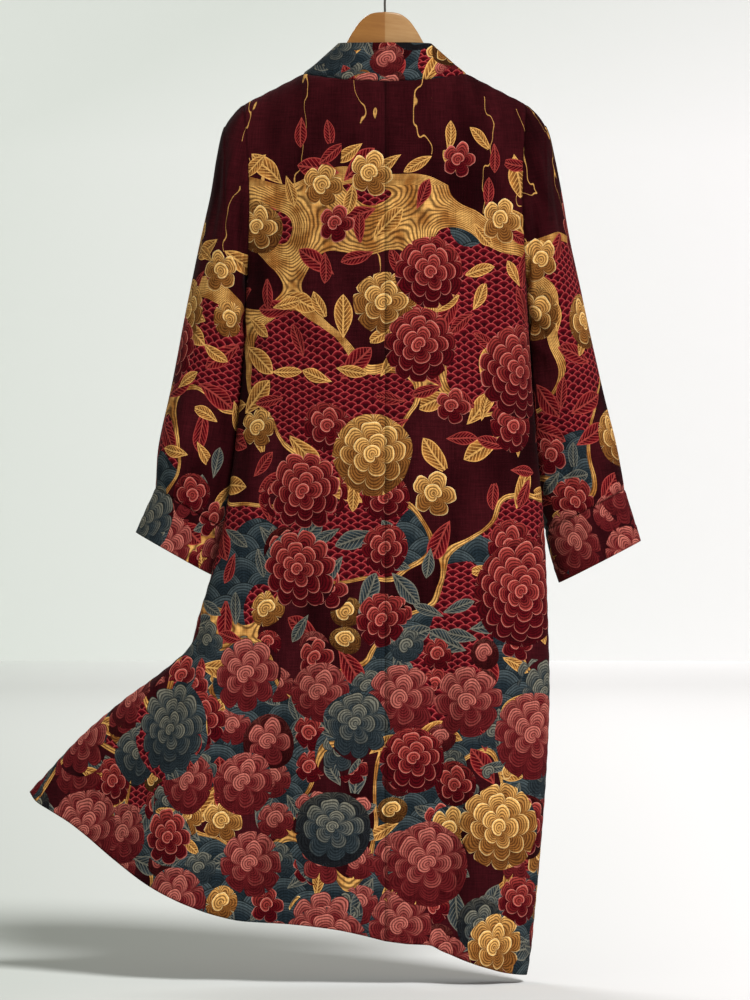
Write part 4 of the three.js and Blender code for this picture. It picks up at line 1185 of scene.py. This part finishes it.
def build_robe():
    bodies = {name: Body(name) for name in HALVES}
    panels = {}
    for name, body in bodies.items():
        panels["back_" + name] = body_panel(body, is_back=True)
        panels["front_" + name] = body_panel(body, is_back=False)
        hole = armhole(panels["back_" + name].p, panels["front_" + name].p)
        panels["sleeve_" + name], panels["cuff_" + name] = tube_panels(SLEEVES[name], hole, body)
    panels["collar_band"] = band_panel(bodies, {name: panel.p for name, panel in panels.items()})
    share_seam_normals(panels.values())

    printed = print_group()
    edge = plain_material("hem_edge", "#c9b08a", 0.9)
    zones = {
        "back": dict(), "front": dict(),
        "sleeve": dict(gain=1.75, shift=0.20), "cuff": dict(gain=1.0, shift=-0.5, bias=0.12),
        "collar": dict(gain=0.0, shift=-1.1, bias=0.30, swing=-0.6),
    }
    looks = {}
    for part, zone in zones.items():
        outside = cloth_material(part + "_print", printed, **zone)
        inside = cloth_material(part + "_reverse", printed, paler=True, **zone)
        looks[part] = [outside, inside, edge]
    for name, panel in panels.items():
        part = name.split("_")[0]
        robe = cloth_mesh(name, panel, BAND if part == "collar" else CLOTH, looks[part])
        stands_for(robe, name)


# ---- the hanger ----
HANGER = dict(half=8, tip_half=6, corner=2.5, corner_steps=6, soft=13, reach=186, rings=241, closer=1.15)
HANGER_SECTIONS = table("x top bottom", [
    (0, -74, -166), (20, -76.5, -166), (34, -86, -167), (45, -101, -168), (56, -119.5, -170),
    (80, -145, -178), (118, -168, -196), (150, -181.8, -211), (175, -195, -221), (186, -203, -221),
])
HOOK = dict(wire=1.6, loop=20, shank_top_z=-56, seat_z=-98, sides=20, rings=260)
HOOK_BEND = dict(x=3.5, rise=13)
HOOK_LOOP = dict(start=-0.3, end=1.12, points=9)  # in half turns, from +X


def hanger_section(x, top, bottom):
    """The outline of the wood at x: a slab with round corners."""
    half = lerp(HANGER["half"], HANGER["tip_half"], abs(x) / HANGER["reach"])
    corner = HANGER["corner"]
    middle, high = (top + bottom) / 2, (top - bottom) / 2
    points = []
    for cy, cz, quarter in ((1, 1, 0), (-1, 1, 1), (-1, -1, 2), (1, -1, 3)):
        for step in range(HANGER["corner_steps"] + 1):
            a = (quarter + step / HANGER["corner_steps"]) * math.pi / 2
            y = cy * (half - corner) + corner * math.cos(a) + float(lean(x, HANGER["soft"]))
            points.append((x, y, middle + cz * (high - corner) + corner * math.sin(a)))
    return points


def build_hanger():
    t = np.linspace(-1, 1, HANGER["rings"])
    xs = np.sign(t) * HANGER["reach"] * np.abs(t) ** HANGER["closer"]
    tops = look_up(HANGER_SECTIONS, "x", "top", np.abs(xs))
    bottoms = look_up(HANGER_SECTIONS, "x", "bottom", np.abs(xs))
    rings = np.array([hanger_section(x, top, bottom) for x, top, bottom in zip(xs, tops, bottoms)])
    wood = loft_mesh("hanger_body", rings, wood_material())
    stands_for(wood, "hanger_body")


def hook_path():
    """The hook's middle line, from its seat in the wood to the tip."""
    centre_z = HOOK["wire"] - HOOK["loop"]
    turns = np.linspace(HOOK_LOOP["start"], HOOK_LOOP["end"], HOOK_LOOP["points"]) * np.pi
    loop = np.stack([HOOK["loop"] * np.cos(turns), 0 * turns, centre_z + HOOK["loop"] * np.sin(turns)], -1)
    seat, top = HOOK["seat_z"], HOOK["shank_top_z"]
    bend = (HOOK_BEND["x"], 0, top + HOOK_BEND["rise"])
    points = np.concatenate([[(0, 0, seat), (0, 0, (seat + top) / 2), (0, 0, top), bend], loop])
    at = np.concatenate([[0], np.cumsum(np.linalg.norm(np.diff(points, axis=0), axis=1))])
    fine = np.linspace(0, at[-1], HOOK["rings"])
    return np.stack([hermite(at, points[:, i], fine) for i in range(3)], -1)


def build_hook():
    path = hook_path()
    ahead = np.gradient(path, axis=0)
    ahead /= np.linalg.norm(ahead, axis=1, keepdims=True)
    side = np.array([0.0, 1.0, 0.0])
    other = np.cross(ahead, side)
    turns = np.arange(HOOK["sides"]) * 2 * np.pi / HOOK["sides"]
    ring = side * np.cos(turns)[:, None] + other[:, None] * np.sin(turns)[:, None]
    steel = plain_material("hook_steel", "#6d6a66", 0.34, metallic=1.0)
    hook = loft_mesh("hanger_hook", path[:, None] + HOOK["wire"] * ring, steel)
    stands_for(hook, "hanger_hook")


# ---- stage ----
FLOOR_Z = -1.432
WALL = dict(radius=16.0, top_z=1.8, sides=96)  # far enough out to be behind every viewer
STAGE_COLOURS = dict(floor=("#b4b8b4", "#dddbdd"), wall=("#bdc1bd", "#dbd9db"))  # each from left to right; the left colour is painted shade and the right painted light, as the light falls from the right
SPREAD = dict(here=0.53, per_metre=0.065, left=-1.1, right=1)  # how far the painted shading from left to right reaches
# Painted light on the floor, lighter further back, and painted shade near the wall's foot.
FLOOR_PAINTED_SHADING = dict(back=(0, 14), lighter=0.22, rim=(13.2, 15.6), darker=0.10)
# Painted shade on the wall, darker low down and at its top.
WALL_PAINTED_SHADING = dict(low=(-1.2, 0.6), least=0.75, high=(0.7, 1.3), darker=0.35)


def build_stage():
    """A wide pale floor with a plain pale wall far round it, both with painted shade to the left and painted
    light to the right.
    """
    sides = WALL["sides"]
    around = np.arange(sides) * 2 * math.pi / sides
    radius = WALL["radius"]
    levels = (FLOOR_Z, FLOOR_Z, WALL["top_z"])  # the floor's edge, and the wall's foot and top
    points = [(radius * math.cos(a), radius * math.sin(a), z) for z in levels for a in around]
    polygons = [tuple(range(sides))]
    for i in range(sides):
        foot, next_foot = sides + i, sides + (i + 1) % sides
        polygons.append((foot, next_foot, next_foot + sides, foot + sides))
    mesh = bpy.data.meshes.new("stage")
    mesh.from_pydata(points, [], polygons)
    mesh.polygons.foreach_set("use_smooth", [len(polygon) == 4 for polygon in polygons])
    made, s, shader = material("stage", "#e6e9e4", 1.0, specular=0.0)
    x, y, z = s.split(s.node("ShaderNodeTexCoord").outputs["Object"])
    # Painted light and shade: lighter to the right and darker to the left, as the light falls from the right;
    # the change widens with distance so that it spans the view.
    reach = y.math("ABSOLUTE").times_add(SPREAD["per_metre"], SPREAD["here"])
    lit_rightwards = (x / reach).ramp(SPREAD["left"], SPREAD["right"])
    upwards = z.ramp(*WALL_PAINTED_SHADING["low"]).times_add(1 - WALL_PAINTED_SHADING["least"], WALL_PAINTED_SHADING["least"])
    # Painted shade near the wall's foot, and painted light further back on the floor.
    far = (x * x + y * y).math("SQRT").ramp(*FLOOR_PAINTED_SHADING["rim"])
    floor_share = (lit_rightwards + y.ramp(*FLOOR_PAINTED_SHADING["back"]) * FLOOR_PAINTED_SHADING["lighter"]).math("MINIMUM", 1)
    floor_share = floor_share - far * FLOOR_PAINTED_SHADING["darker"]
    # Painted shade on the wall: darker low down and at its top.
    wall_share = lit_rightwards * upwards - z.ramp(*WALL_PAINTED_SHADING["high"]) * WALL_PAINTED_SHADING["darker"]
    floor = s.mix(*(colour(c) for c in STAGE_COLOURS["floor"]), floor_share)
    wall = s.mix(*(colour(c) for c in STAGE_COLOURS["wall"]), wall_share)
    s.feed(shader.inputs["Base Color"], s.mix(floor, wall, z > FLOOR_Z + MM))
    mesh.materials.append(made)
    add_object("stage", mesh)


def sun(name, comes_from, strength, softness, tint):
    """A light from far away in one direction, softer for a wider angle in degrees."""
    light = bpy.data.lights.new(name, "SUN")
    light.energy, light.angle, light.color = strength, math.radians(softness), tint
    obj = add_object(name, light)
    obj.location = comes_from
    obj.rotation_euler = (-obj.location).to_track_quat("-Z", "Y").to_euler()


CAMERA = dict(place=(-0.014, -8.0, -0.757), frame_height=1.4)  # it looks along +Y


def build_camera():
    camera = bpy.data.cameras.new("camera")
    camera.sensor_fit = "VERTICAL"
    camera.angle = 2 * math.atan(CAMERA["frame_height"] / 2 / -CAMERA["place"][1])
    obj = add_object("camera", camera)
    obj.location = CAMERA["place"]
    obj.rotation_euler = (math.pi / 2, 0, 0)
    bpy.context.scene.camera = obj


SKY = dict(tint="#e9ebda", strength=0.34)


def build_lights():
    sun("key", (1.2, -2.5, 2.5), strength=4.05, softness=16, tint=(1.0, 0.995, 0.988))
    sun("fill", (-1.5, 3.0, 2.0), strength=1.6, softness=25, tint=(1.0, 1.0, 1.0))
    world = bpy.data.worlds.new("world")
    world.use_nodes = True
    background = world.node_tree.nodes["Background"]
    background.inputs[0].default_value = colour(SKY["tint"])
    background.inputs[1].default_value = SKY["strength"]
    bpy.context.scene.world = world
    bpy.context.scene.view_settings.view_transform = "Standard"


build_robe()
build_hanger()
build_hook()
build_stage()
build_lights()
build_camera()
